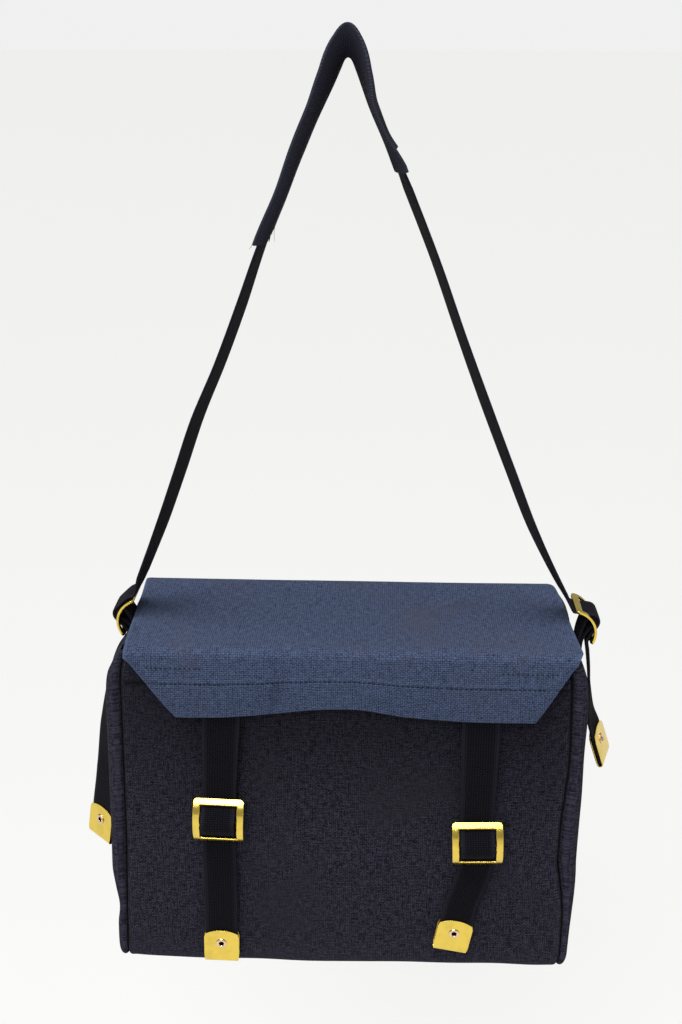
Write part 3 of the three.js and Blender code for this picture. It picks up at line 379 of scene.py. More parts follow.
def carried(rings):
    """A closed profile carried along a path: quads round each ring, with a fan at both ends."""
    count, around = rings.shape[:2]
    a = np.arange(count * around).reshape(count, around)
    b = np.roll(a, -1, axis=1)
    quads = np.stack([a[:-1], a[1:], b[1:], b[:-1]], -1).reshape(-1, 4)
    points = np.vstack([rings.reshape(-1, 3), rings[0].mean(0), rings[-1].mean(0)])
    first, last = (np.full(around, count * around + k) for k in (0, 1))
    fans = np.vstack([np.stack([first, a[0], b[0]], -1), np.stack([last, b[-1], a[-1]], -1)])
    return points, [quads, fans]


def mesh_piece(name, points, faces, cloth=None, material=None, merge=0.0, smooth=True):
    """Makes an object from points in millimetres and faces. cloth holds, for each point, its place
    on the cloth in millimetres and how much it is worn or carries painted highlight (above 0), or how
    much painted shade it carries (below 0)."""
    lists = faces if isinstance(faces, list) else [faces]
    mesh = bpy.data.meshes.new(name)
    mesh.from_pydata((np.asarray(points) * MM).tolist(), [],
                     [face for part in lists for face in part.tolist()])
    if cloth is not None:
        mesh.attributes.new("cloth", "FLOAT_VECTOR", "POINT").data.foreach_set(
            "vector", np.asarray(cloth, np.float32).ravel())
    bm = bmesh.new()
    bm.from_mesh(mesh)
    if merge:
        bmesh.ops.remove_doubles(bm, verts=bm.verts, dist=merge * MM)
        bmesh.ops.dissolve_degenerate(bm, dist=1e-7, edges=bm.edges)
    if bm.calc_volume(signed=True) < 0:
        bmesh.ops.reverse_faces(bm, faces=bm.faces)
    bm.to_mesh(mesh)
    bm.free()
    mesh.polygons.foreach_set("use_smooth", [smooth] * len(mesh.polygons))
    obj = bpy.data.objects.new(name, mesh)
    bpy.context.scene.collection.objects.link(obj)
    if material:
        mesh.materials.append(material)
    return obj


def bevelled(obj, width, segments=2, angle=50):
    """Rounds the sharp edges of a piece."""
    edge = obj.modifiers.new("soft edges", "BEVEL")
    edge.width, edge.segments = width * MM, segments
    edge.limit_method, edge.angle_limit = "ANGLE", angle * RAD
    return obj


def settle(obj, slot, *nodes):
    """The piece rides on the root body and stands for CAD nodes, which it hides; slot is not used."""
    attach(obj, "root")
    if nodes:
        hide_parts(*nodes)
    return obj


def panel_piece(name, grid, normals, above, below, cloth, look, bevel, slot, node, **options):
    """A cloth wall laid on a grid, with its faces at two distances along the normals, softened
    edges, and the CAD node that it stands for."""
    spread = lambda d: np.broadcast_to(np.asarray(d, float), grid.shape[:2])[..., None]
    merge = options.pop("merge", 0.0)
    outer, inner = (grid + normals * spread(d) for d in (above, below))
    points, faces = shell(outer, inner, **options)
    both = np.vstack([cloth.reshape(-1, 3)] * 2)
    piece = mesh_piece(name, points, faces, both, looks()[look], merge=merge)
    return settle(bevelled(piece, *bevel), slot, node)


def stitch_row(places, normals, directions):
    """Stitches as small lens shapes: three rings of six points and two ends, each laid along
    its seam and flattened towards the cloth."""
    p, n, d = (a[:, None] for a in (places, normals, directions))
    side = unit(np.cross(n, d))
    half, thick, flat = STITCH["length"] / 2, STITCH["thick"], STITCH["flat"]
    angle = (np.arange(6) * np.pi / 3)[None, :, None]
    round_it = side * np.cos(angle) + n * np.sin(angle) * flat
    rings = [p + d * (share * half) + round_it * thick * size
             for share, size in ((-0.62, 0.72), (0, 1.0), (0.62, 0.72))]
    block = np.concatenate([*rings, p - d * half, p + d * half], axis=1)
    a, b = np.arange(6), (np.arange(6) + 1) % 6
    quads = np.concatenate([np.stack([a + k, b + k, b + k + 6, a + k + 6], -1) for k in (0, 6)])
    caps = np.concatenate([np.stack([np.full(6, 18), b, a], -1),
                           np.stack([np.full(6, 19), a + 12, b + 12], -1)])
    shift = (np.arange(len(places)) * 20)[:, None, None]
    return block.reshape(-1, 3), [(part[None] + shift).reshape(-1, part.shape[1])
                                  for part in (quads, caps)]


def joined(blocks):
    """Many small meshes as one: all points, and each kind of face with its numbers shifted."""
    starts = np.cumsum([0] + [len(points) for points, _ in blocks])
    kinds = zip(*([part + start for part in faces] for (_, faces), start in zip(blocks, starts)))
    return np.vstack([points for points, _ in blocks]), [np.vstack(kind) for kind in kinds]


# ---------------------------------------------------------------- shader writing
class Term:
    """A number in a material. Operators add Math nodes, so masks are written as sums."""

    def __init__(self, look, socket):
        self.look, self.socket = look, socket

    def _do(self, operation, *values):
        return self.look.node("ShaderNodeMath", {"operation": operation}, dict(enumerate(values)))

    def __add__(self, other):
        return self._do("ADD", self, other)

    def __sub__(self, other):
        return self._do("SUBTRACT", self, other)

    def __rsub__(self, other):
        return self._do("SUBTRACT", other, self)

    def __mul__(self, other):
        return self._do("MULTIPLY", self, other)

    def __pow__(self, other):
        return self._do("POWER", self, other)

    def clamp(self):
        return self._do("MINIMUM", self._do("MAXIMUM", self, 0.0), 1.0)

    def sine(self):
        return self._do("SINE", self)

    def size(self):
        return self._do("ABSOLUTE", self)

    def between(self, low, high):
        """0 below low, 1 above high, smooth between."""
        return self.look.node("ShaderNodeMapRange", {"interpolation_type": "SMOOTHSTEP"},
                              {0: self, 1: low, 2: high, 3: 0.0, 4: 1.0})

    __radd__, __rmul__ = __add__, __mul__


class Look:
    """A material being written: node() makes any node, the rest are its common uses."""

    def __init__(self, name, **constants):
        self.material = bpy.data.materials.new(name)
        self.material.use_nodes = True
        self.tree = self.material.node_tree
        self.shader = self.tree.nodes["Principled BSDF"]
        for key, value in constants.items():
            socket = key.replace("_", " ").title().replace("Ior", "IOR")
            self.shader.inputs[socket].default_value = value

    def node(self, kind, settings=None, inputs=None, output=0):
        made = self.tree.nodes.new(kind)
        for key, value in (settings or {}).items():
            setattr(made, key, value)
        for key, value in (inputs or {}).items():
            if isinstance(value, Term):
                self.tree.links.new(value.socket, made.inputs[key])
            else:
                made.inputs[key].default_value = value
        return Term(self, made.outputs[output])

    def feed(self, **values):
        """Links values to the shader's sockets and gives the finished material."""
        for key, value in values.items():
            self.tree.links.new(value.socket, self.shader.inputs[key.replace("_", " ")])
        return self.material

    def place(self):
        return self.node("ShaderNodeTexCoord", output="Object")

    def cloth(self):
        return self.node("ShaderNodeAttribute", {"attribute_name": "cloth"}, output="Vector")

    def scaled(self, vector, factors):
        return self.node("ShaderNodeVectorMath", {"operation": "MULTIPLY"}, {0: vector, 1: factors})

    def noise(self, vector, scale, detail=2.0, roughness=0.5, distortion=0.0):
        return self.node("ShaderNodeTexNoise", None,
                         {"Vector": vector, "Scale": scale, "Detail": detail, "Roughness": roughness,
                          "Distortion": distortion})

    def grain(self, cloth, across, along, detail, roughness=0.5):
        """Noise on the cloth's own millimetres, with a frequency for each direction."""
        return self.noise(self.scaled(cloth, (across, along, 0)), 1.0, detail, roughness)

    def split(self, vector):
        made = self.node("ShaderNodeSeparateXYZ", None, {0: vector})
        outs = made.socket.node.outputs
        return Term(self, outs[0]), Term(self, outs[1]), Term(self, outs[2])

    def mix(self, share, a, b):
        """Colour a where share is 0, b where it is 1."""
        ends = {k: c if isinstance(c, Term) else (*c, 1) for k, c in ((6, a), (7, b))}
        return self.node("ShaderNodeMix", {"data_type": "RGBA"}, {0: share, **ends}, output=2)

    def bump(self, height, strength, distance):
        return self.node("ShaderNodeBump", None,
                         {"Strength": strength, "Distance": distance, "Height": height})


def shade(base, factor):
    """A colour made lighter or darker."""
    return tuple(min(1.0, c * factor) for c in base[:3])


def canvas_look(name, base, tint, dark=0.28, light=1.95, contrast=1.3):
    """Plain-woven canvas: crowns are the product of two sine waves, whose sign tells warp from
    weft; uneven yarns, slubs, faded patches and worn edges come from noise and from the cloth's
    value above 0, and painted shade comes from that value below 0."""
    look = Look(name, roughness=0.93, sheen_weight=0.02, sheen_roughness=0.6,
                specular_ior_level=0.06)
    cloth, place = look.cloth(), look.place()
    sway = look.grain(cloth, 0.12, 0.12, 1.0) * 0.9
    u, v, wear_and_painted_light = look.split(cloth)
    pair = ((u + sway) * (math.pi / WEAVE_PITCH)).sine() \
        * ((v + sway) * (math.pi / (WEAVE_PITCH * 0.92))).sine()
    crown = pair.size() ** 0.55
    weft = look.grain(cloth, 0.19, 0.95, 3.0, 0.65)
    warp = look.grain(cloth, 0.92, 0.16, 3.0, 0.65)
    fuzz = look.grain(cloth, 0.95, 0.95, 4.0, 0.8)
    lint = look.grain(cloth, 0.42, 0.42, 3.0, 0.75)
    patch = look.noise(place, 14.0, 4.0, 0.6, 0.3)
    grime = look.noise(place, 31.0, 5.0, 0.65)
    yarns = ((weft - 0.5) + (warp - 0.5) * 0.8 + (fuzz - 0.5) * 1.5) * contrast
    weave = (crown * 0.55 + (pair * 0.5 + 0.5) * 0.3 + yarns).clamp()
    tone = look.mix(weave, shade(base, dark), shade(base, light))
    # The last mix darkens the cloth where its value is below 0: painted shade.
    for share, other in ((patch.between(0.50, 0.72) * 0.5, tint),
                         (grime.between(0.56, 0.8) * 0.4, shade(base, 0.55)),
                         (lint.between(0.66, 0.78) * 0.38, shade(base, 4.0)),
                         ((wear_and_painted_light * (fuzz * 1.2 + 0.4)).clamp() * 0.5, shade(base, 3.2)),
                         ((0 - wear_and_painted_light).clamp(), shade(base, 0.18))):
        tone = look.mix(share, tone, other)
    height = crown + fuzz * 0.9 + weft * 0.8 + warp * 0.6
    return look.feed(Base_Color=tone, Roughness=0.86 + fuzz * 0.16,
                     Normal=look.bump(height, 0.85, 0.0004))


def webbing_look(name, base, across=1.55, along=1.25, light=3.8):
    """Heavy webbing: the product of two sine waves makes rows of picks, each column shifted by
    half a pick, with lighter crowns and speckled fibres."""
    look = Look(name, roughness=0.9, sheen_weight=0.01, sheen_roughness=0.6,
                specular_ior_level=0.07)
    cloth = look.cloth()
    u, v, wear_and_painted_light = look.split(cloth)
    sway = look.grain(cloth, 0.2, 0.2, 1.0) * 0.5
    pair = ((u + sway) * (math.pi / across)).sine() * ((v + sway) * (math.pi / along)).sine()
    picks = pair.between(0.15, 0.95) + (pair * -1.0).between(0.15, 0.95) * 0.55
    fuzz = look.grain(cloth, 1.2, 1.2, 4.0, 0.8)
    drift = look.grain(cloth, 0.06, 0.06, 3.0, 0.6)
    tone = look.mix((picks + fuzz * 0.4 - 0.1).clamp(), shade(base, 0.2), shade(base, light))
    # The last mix darkens the webbing where its value is below 0: painted shade.
    for share, other in ((drift.between(0.45, 0.7) * 0.4, shade(base, 0.7)),
                         (fuzz.between(0.62, 0.76) * 0.30, (0.016, 0.016, 0.024)),
                         ((wear_and_painted_light * (fuzz + 0.4)).clamp() * 0.6, (0.036, 0.038, 0.056)),
                         ((0 - wear_and_painted_light).clamp(), shade(base, 0.3))):
        tone = look.mix(share, tone, other)
    return look.feed(Base_Color=tone, Roughness=0.84 + fuzz * 0.18,
                     Normal=look.bump(picks * 1.2 + fuzz * 0.45, 0.9, 0.00042))


def brass_look(name, base):
    """Polished sheet brass: colour and roughness vary by noise, with fine rubbing marks."""
    look = Look(name, metallic=1.0)
    place = look.place()
    cloud = look.noise(place, 130.0, 4.0, 0.6)
    fine = look.noise(look.scaled(place, (1.0, 1.0, 7.0)), 900.0, 3.0, 0.7)
    rub = look.noise(look.scaled(place, (9.0, 3.0, 1.0)), 420.0, 2.0, 0.5)
    tone = look.mix(cloud.between(0.4, 0.75) * 0.5, base, shade(base, 0.72))
    tone = look.mix(fine.between(0.6, 0.8) * 0.25, tone, shade(base, 1.18))
    rough = 0.10 + cloud * 0.16 + rub.between(0.55, 0.8) * 0.10
    return look.feed(Base_Color=tone, Roughness=rough,
                     Normal=look.bump(rub + cloud * 1.5, 0.12, 0.0004))


def thread_look(name, base):
    """Sewing thread: fine and broad noise vary its colour, and fine noise its surface."""
    look = Look(name, roughness=0.8, specular_ior_level=0.1)
    place = look.place()
    fibre = look.noise(place, 2600.0, 2.0, 0.6)
    spot = look.noise(place, 160.0, 2.0, 0.5)
    tone = look.mix((fibre * 0.7 + spot * 0.5).clamp(), shade(base, 0.5), shade(base, 2.2))
    return look.feed(Base_Color=tone, Roughness=0.7 + fibre * 0.25,
                     Normal=look.bump(fibre, 0.5, 0.0001))


LOOKS = {}


def looks():
    """The materials, made once from the chosen colours."""
    if not LOOKS:
        group = bpy.context.scene.haversack_colours
        c = {key: tuple(getattr(group, key)) for key in group.__annotations__}
        LOOKS.update(
            # The body canvas and the flap canvas are one cloth: the body's is painted darker as shaded,
            # the flap's lighter as lit.
            canvas=canvas_look("navy canvas", c["canvas"], (0.017, 0.016, 0.022), 0.03, 2.6, 2.6),
            flap=canvas_look("flap canvas", c["flap"], (0.046, 0.044, 0.066)),
            webbing=webbing_look("webbing", c["webbing"]),
            # The shoulder webbing is the webbing colour painted 4.4 times lighter, as if lit.
            shoulder=webbing_look("wide webbing", shade(c["webbing"], 4.4), 1.3, 1.05, 2.4),
            brass=brass_look("brass", c["brass"]),
            rivet=brass_look("rivet metal", c["rivet"]),
            thread=thread_look("thread", c["thread"]))
    return LOOKS


# ---------------------------------------------------------------- bag
def bag_rows(plan):
    """The line that front, floor and back follow: straight, quarter round, straight, mirrored.
    Gives its place, outward normal, level and running length, each as one column."""
    straight, run = plan.bag_height - plan.corner, plan.deep - plan.corner
    drop = np.linspace(0, straight, int(straight / ROW_STEP))
    flat = np.linspace(-run, run, int(2 * run / ROW_STEP) | 1)
    turn = np.linspace(0, np.pi / 2, 8)[1:-1]
    c, s, full = np.cos(turn), np.sin(turn), np.full_like
    parts = [(full(drop, -plan.deep), plan.mouth - drop, full(drop, -1), 0 * drop),
             (-plan.deep + plan.corner * (1 - c), plan.floor + plan.corner * (1 - s), -c, -s),
             (flat, full(flat, plan.floor), 0 * flat, full(flat, -1))]
    for y, z, ny, nz in (parts[1], parts[0]):
        parts.append((-y[::-1], z[::-1], -ny[::-1], nz[::-1]))
    y, z, ny, nz = (np.concatenate([p[k] for p in parts])[:, None] for k in range(4))
    run = run_along(np.hstack([y, z]))[:, None]
    return dict(y=y, z=z, ny=ny, nz=nz, level=(plan.mouth - z) / plan.bag_height, run=run)


def inward(rows, depth):
    """Y and Z at depths measured inwards from the line."""
    return [rows[axis] - depth * rows["n" + axis] for axis in "yz"]


def build_body(plan):
    """Front, floor and back in one cloth: a grid of the rows by a column that starts on the
    turned-in seam edge, rounds its fold, crosses the panel and ends the same way."""
    rows = bag_rows(plan)
    level, run, upright, front = rows["level"], rows["run"], np.abs(rows["ny"]), rows["y"] < 0
    left, right = (plan.seam(table, level) - SEAM_GAP for table in (GUSSET_LEFT, GUSSET_RIGHT))
    fold = np.linspace(0, np.pi / 2, 6)
    off = np.concatenate([[0, 0, 0], plan.turn * (1 - np.cos(fold))])
    deep = np.concatenate([[plan.allowance, 5.5, 3.6], plan.turn * (1 - np.sin(fold))])
    deep = np.broadcast_to(deep, (len(run), len(deep)))
    face = np.linspace(-1, 1, 104)[1:-1]
    flat_x = face * (np.where(face < 0, left, right) - plan.turn)
    lift = plan.proud(face, level, upright)
    lift = lift + np.clip((1 - np.abs(face)) * 9, 0, 1) * waves(flat_x, run, BODY_WAVES)
    pull = 0.35 * hump(np.abs(face), 1, 1 / 22) * np.cos(run / 7.3 + flat_x / 60)
    lift = lift + pull * upright
    x = np.hstack([off - left, flat_x, right - off[::-1]])
    grid = np.stack([x, *inward(rows, np.hstack([deep, -lift, deep[:, ::-1]]))], -1)
    below = plan.mouth - rows["z"]
    middle = x.shape[1] / 2
    panel = front & (np.abs(np.arange(x.shape[1]) - middle)[None] < middle - 7)
    hem = np.where(panel, ease((plan.hem + 0.6 - below) / 1.6), 0.0)
    above = hem * (plan.canvas - 0.45 * hump(below, plan.hem - 3, 0.9) * panel)
    near = np.minimum(x + left, right - x)
    # Lighter on the floor, at the bottom of the walls and along the seam's edge (wear). Painted shade:
    # the front darkens towards the top, standing for the flap's shadow and partly for cloth less faded
    # under the flap; a dark line under the mouth hem's step; the turned-in seam edge.
    wear_and_painted_light = (0.30 * ease((level - 0.90) / 0.1) - 0.42 * ease((0.62 - level) / 0.45) * front
            - 0.75 * hump(below, plan.hem + 0.9, 0.8) * panel
            + 0.22 * hump(near, 3.0, 1.6) - 0.8 * ease((1.6 - near) / 1.6))
    cloth = np.stack([x, np.broadcast_to(run, x.shape), wear_and_painted_light], -1)
    piece = panel_piece("bag_body", grid, facing(grid, (20, 50), -DEPTHWISE), above, -plan.canvas,
                        cloth, "canvas", (0.45,), "canvas", "body_panel")
    size = (plan.bag_width * MM, run[-1, 0] * MM)


def build_gusset(plan, hand):
    """One side: a half-round roll along the U-shaped seam, then a dished face that runs in to
    the side's middle line, where front and back halves meet."""
    side = SIDES[hand]
    sign, rows = side["sign"], bag_rows(plan)
    seam = plan.seam(side["gusset"], rows["level"]) + SEAM_GAP
    radius = plan.roll(side["gusset"], rows["level"]) / 2
    theta = np.linspace(0, np.pi, 15)
    x = np.hstack([seam, seam + radius * (1 - np.cos(theta))])
    y, z = inward(rows, np.hstack([np.full_like(seam, plan.allowance),
                                   GAP + radius * (1 - np.sin(theta))]))
    drop = plan.bag_height - plan.deep
    scale = drop / (plan.bag_height - plan.corner)
    heart_z = np.maximum(plan.mouth - (plan.mouth - rows["z"]) * scale, plan.mouth - drop)
    heart_x = plan.side_at(side, heart_z, smooth=True)
    share = np.linspace(0, 1, 17)[1:]
    gx = x[:, -1:] + (heart_x - x[:, -1:]) * ease(share * 1.3)
    gy = y[:, -1:] * (1 - share)
    gz = z[:, -1:] + (heart_z - z[:, -1:]) * share
    gx = gx + np.sin(np.pi * share) ** 0.8 * waves(gy, gz, ((side["seed"], 58, 0.8), (5, 24, 0.2)))
    grid = np.stack([np.hstack([x, gx]) * sign, np.hstack([y, gy]), np.hstack([z, gz])], -1)
    normals = facing(grid, (20, 20), (sign, 0, 0))
    normals[:, -1] = (sign, 0, 0)
    across = np.hstack([[0.0], theta, np.full(len(share), 9.0)])
    worn = np.hstack([[9.0], across[1:]])
    # Lighter on the roll's crown (wear); painted shade on the seam allowance and on the roll's start
    # beside the seam.
    wear_and_painted_light = 0.42 * hump(worn, 1.45, 0.65) - 0.9 * np.clip(1 - across * 1.4, 0, 1)
    cloth = np.stack([grid[..., 1] + 0.35 * np.abs(grid[..., 0]), grid[..., 2],
                      np.broadcast_to(wear_and_painted_light, grid.shape[:2])], -1)
    piece = panel_piece(f"bag_gusset_{hand}", grid, normals, 0, -plan.canvas, cloth, "canvas",
                        (0.4,), "canvas", f"gusset_{hand}", open_end=True, merge=0.02)


def flap_edges(plan, rows):
    """X of the flap's left and right edges."""
    return (plan.half * sign * plain_read(FLAP_EDGES, rows, k) for sign, k in ((-1, 1), (1, 2)))


def flap_grid(plan, rows, across):
    """Points of the flap's outer side: its profile swept across between its two edges, with the
    hem's uneven drop, a sagging top and a back that follows the bag."""
    depth, rise, flare = FLAP_PROFILE.T
    key = np.column_stack([0 * depth, depth * plan.deep + flare * FLAP_FLARE,
                           plan.mouth + rise * plan.flap_drop])
    line, _ = curve_at(key, rows)
    left, right = (edge[:, None] for edge in flap_edges(plan, rows))
    x = left + (right - left) * (across + 1) / 2
    drop = smooth_read(FLAP_HEM, x / plan.half, 1)
    py, pz = line[:, 1:2], line[:, 2:3]
    below = np.minimum(0, pz - plan.mouth)
    top = np.maximum(0, 1 - (py / plan.deep) ** 2) * ease((pz - plan.mouth) / 2)
    level = (plan.mouth - pz) / plan.bag_height
    back = plan.deep + 2 * GAP + plan.proud(x / plan.half, np.maximum(level, 0), 1.0)
    y = np.where((py > 0) & (below < 0), back, py) + 0 * x
    z = pz + below * (drop - 1) * (py < 0) - FLAP_SAG * top * (1 - across ** 4)
    return np.stack([x + 0 * z, y, z], -1), line


def flap_pattern(plan):
    """The flap's grid with its soft waves, and the running length along its profile."""
    rows = np.linspace(0, FLAP_ROWS, 151)[:, None]
    across = np.linspace(-1, 1, 121)[None]
    grid, line = flap_grid(plan, rows[:, 0], across)
    run = run_along(line)[:, None]
    normals = facing(grid, (75, 60), UP)
    x = grid[..., 0]
    free = ease((rows - 2.5) / 3) * (1 - 0.6 * np.abs(across) ** 6)
    crease = 0
    for k, (height, at, width, first, over) in enumerate(FLAP_CREASES):
        slant = (run - CREASE_RUN) * CREASE_SLANT if k == 0 else 0
        crease = crease + height * hump(x + slant, at, width) * ease((rows - first) / over)
    lift = free * (waves(x, run, FLAP_WAVES) + crease)
    return grid, normals, lift, run, rows, across


def build_flap(plan):
    """The flap: a sheet whose edges are turned under and stitched, thicker along the hem."""
    grid, normals, lift, run, rows, across = flap_pattern(plan)
    x = grid[..., 0]
    edge = run[-1] - run + 0 * x
    side = (1 - np.abs(across)) * (x[:, -1:] - x[:, :1]) / 2
    side = np.where(rows > FRONT_EDGE_ROW, side * 0.85, side)
    rim, sewn = np.minimum(edge, side), plan.flap_hem - STITCH_LINE
    turned_in = np.maximum(ease((plan.flap_hem + 0.8 - edge) / 1.6),
                           ease((TURN_WIDTH - side) / 1.4) * ease(rows - 3))
    above = (plan.canvas + 0.45 * turned_in - 0.4 * hump(edge, sewn, 0.8)
             - 0.55 * ease((0.9 - rim) / 0.9))
    # Mask along the long crease, used only for the painted shade in it.
    _, crease_x, _, _, _ = FLAP_CREASES[0]
    crease = hump(x + (run - CREASE_RUN) * CREASE_SLANT, crease_x, 4) * ease((rows - 11) / 2)
    # Lighter at the edges and along the hem's fold (wear); painted shade along the hem's stitch line and
    # in the long crease.
    wear_and_painted_light = (0.45 * hump(rim, 0, 1.1) + 0.10 * hump(edge, plan.flap_hem, 1.6)
            - 0.42 * hump(edge, sewn, 0.6) - 0.30 * crease)
    cloth = np.stack([x, run + 0 * x, wear_and_painted_light], -1)
    grid = grid + normals * lift[..., None]
    piece = panel_piece("bag_flap", grid, normals, above, 0.0, cloth, "flap", (0.4,),
                        "flap_canvas", "flap")
    flat = 0.5 * float(np.sum(np.linalg.norm(np.cross(
        grid[1:, 1:] - grid[:-1, :-1], grid[:-1, 1:] - grid[1:, :-1]), axis=-1))) * MM * MM
    run[-1, 0] * MM
    min(flat, 2 * plan.half * run[-1, 0] * MM * MM)


# ---------------------------------------------------------------- straps and brass
class Frame:
    """A buckle's own frame: down along the strap, out from the bag, side across the strap."""

    def __init__(self, apex, down, out):
        self.apex, self.down, self.out = (np.array(v, float) for v in (apex, down, out))
        self.side = np.cross(self.down, self.out)

    def at(self, across, down, out):
        across, down, out = (np.asarray(v, float)[..., None] for v in (across, down, out))
        return self.apex + self.side * across + self.down * down + self.out * out


def buckle_kind(plan, width, chord, rise, clear, over_top=False):
    """A buckle plate bent to an arc. The strap's middle line runs behind (or outside) the upper
    bar, over the middle bar on a circle round it, and behind the lower bar."""
    bend = (chord ** 2 / 4 + rise ** 2) / (2 * rise)
    end = math.asin(chord / 2 / bend)
    bar = end - plan.bar / bend

    def half(radius):
        past = [(radius * math.sin(a), radius * math.cos(a) - bend)
                for a in (bar, (bar + end) / 2, end + 0.04)]
        down, out = past[0]
        reach = math.hypot(down, out + plan.bar_depth)
        slope = math.atan2(-out - plan.bar_depth, down) + math.asin(plan.over / reach)
        arc = [(plan.over * math.sin(a), plan.over * math.cos(a) - plan.bar_depth)
               for a in np.linspace(0, slope, 4)]
        return arc + past
    behind = bend - plan.brass - GAP - plan.webbing / 2
    outside = bend + GAP + plan.webbing / 2 + 0.1
    upper = half(outside if over_top else behind)[1:][::-1]
    thread = [(-d, o) for d, o in upper] + half(behind)
    near = thread[-1]
    lead = (near[0] - clear * math.sin(end * 0.8), near[1] - clear * math.cos(end * 0.8))
    return dict(width=width, bend=bend, end=end, thread=thread, near=near, lead=lead)


def steps(*marks):
    """Numbers from mark to mark, each given with its count, then mirrored about the last."""
    parts = [np.linspace(a, b, n)[:-1] for (a, n), (b, _) in zip(marks, marks[1:])]
    row = np.concatenate([*parts, [marks[-1][0]]])
    return np.concatenate([row, -row[-2::-1]])


def build_buckle(plan, name, place, kind, node):
    """A plate with two windows: a grid of arc length by width, its cells left out over the
    windows, its outer corners rounded, bent to the buckle's arc."""
    bend, corner = kind["bend"], BUCKLE_CORNER
    end, half = kind["end"] * bend, kind["width"] / 2
    window, bar, mid = plan.window / 2, end - plan.bar, plan.middle / 2
    rows = steps((-end, 6), (-end + corner, 4), (-bar, 12), (-mid, 3), (0, 0))
    columns = steps((-half, 6), (-half + corner, 3), (-window, 12), (0, 0))
    s, v = np.meshgrid(rows, columns, indexing="ij")
    ks = np.clip((np.abs(s) - (end - corner)) / corner, 0, 1)
    kv = np.clip((np.abs(v) - (half - corner)) / corner, 0, 1)
    size, both = np.hypot(ks, kv), (ks > 0) & (kv > 0)
    shrink = np.maximum(ks, kv) / np.where(size > 0, size, 1) * corner
    arc = np.where(both, np.sign(s) * (end - corner + ks * shrink), s) / bend
    across = np.where(both, np.sign(v) * (half - corner + kv * shrink), v)
    on_bar = ease((window - np.abs(v)) / 2.0) * (np.abs(s) <= mid + 1e-6)
    radius = bend - plan.setback * on_bar
    grid = place.at(across, radius * np.sin(arc), radius * np.cos(arc) - bend)
    middle, centre = (np.abs(a[:-1] + a[1:]) / 2 for a in (rows, columns))
    hollow = ((middle < bar) & (middle > mid))[:, None] & (centre < window)[None]
    normals = facing(grid, (2, 2), place.out)
    points, faces = shell(grid, grid - normals * plan.brass, open_cells=hollow)
    piece = mesh_piece(name, points, faces, material=looks()["brass"])
    settle(bevelled(piece, 0.42, 3, 48), "brass", node)


def ribbon(points, side, width, thick, run):
    """A webbing carried along its line: a flat profile with round selvedges that bulge a little
    at every pick. Gives rings and each point's place on the cloth."""
    out = unit(np.cross(side, unit(np.gradient(points, axis=0))))
    flat = np.linspace(-1, 1, 9)
    arc = np.linspace(np.pi / 2, -np.pi / 2, 6)[1:-1]
    u = np.concatenate([flat, 1 + 0 * arc, flat[::-1], -1 + 0 * arc])
    bulge = np.concatenate([0 * flat, np.cos(arc), 0 * flat, -np.cos(arc)])
    h = np.concatenate([np.ones(9), np.sin(arc), -np.ones(9), -np.sin(arc)])
    half = (np.broadcast_to(width, run.shape) - thick) / 2
    edge = thick / 2 + SELVEDGE * np.cos(2 * np.pi * run / PICK)
    reach = half[:, None] * u + edge[:, None] * bulge
    close = 0.9 + 0.1 * ease(np.minimum(run, run[-1] - run) / 1.2)
    lift = h * thick / 2 * close[:, None] * (1 - 0.10 * np.abs(u) ** 6)
    rings = points[:, None] + side[:, None] * reach[..., None] + out[:, None] * lift[..., None]
    wear_and_painted_light = 0.30 * np.abs(u) ** 12 + 0 * reach
    return rings, np.stack([reach + 0.675 * (h < 0), run[:, None] + 0 * reach, wear_and_painted_light], -1)


def webbing_piece(name, points, side, width, thick, run, node):
    """A webbing as a mesh, with its closing fans."""
    rings, cloth = ribbon(points, side, width, thick, run)
    points, faces = carried(rings)
    cloth = np.vstack([cloth.reshape(-1, 3), cloth[0].mean(0), cloth[-1].mean(0)])
    settle(mesh_piece(name, points, faces, cloth, looks()["webbing"]), "webbing", node)


def chape_piece(plan, name, seat, place, node):
    """Two layers along the seat that part before the middle bar and close round it."""
    bar = place.at(0, 0, -plan.bar_depth)
    line = np.array([*seat, bar])
    index, last = np.arange(len(line)), len(line) - 1
    along = unit(line[np.minimum(index + 1, last)] - line[np.maximum(index - 1, 0)])
    out = unit(np.cross(along, place.side))
    out = out * np.sign((out * place.out).sum(1))[:, None]
    apart = np.where(index == last, plan.loop, plan.pair / 2)[:, None]
    angle = np.linspace(0, np.pi, 9)[1:-1, None]
    around = bar - out[-1] * plan.loop * np.cos(angle) + along[-1] * plan.loop * np.sin(angle)
    path = np.vstack([line - out * apart, around, (line + out * apart)[::-1]])
    rows, run = even_rows(path, CHAPE_STEP)
    points, _ = curve_at(path, rows)
    side = np.broadcast_to(place.side, points.shape)
    webbing_piece(name, points, side, plan.chape_width, plan.chape, run, node)


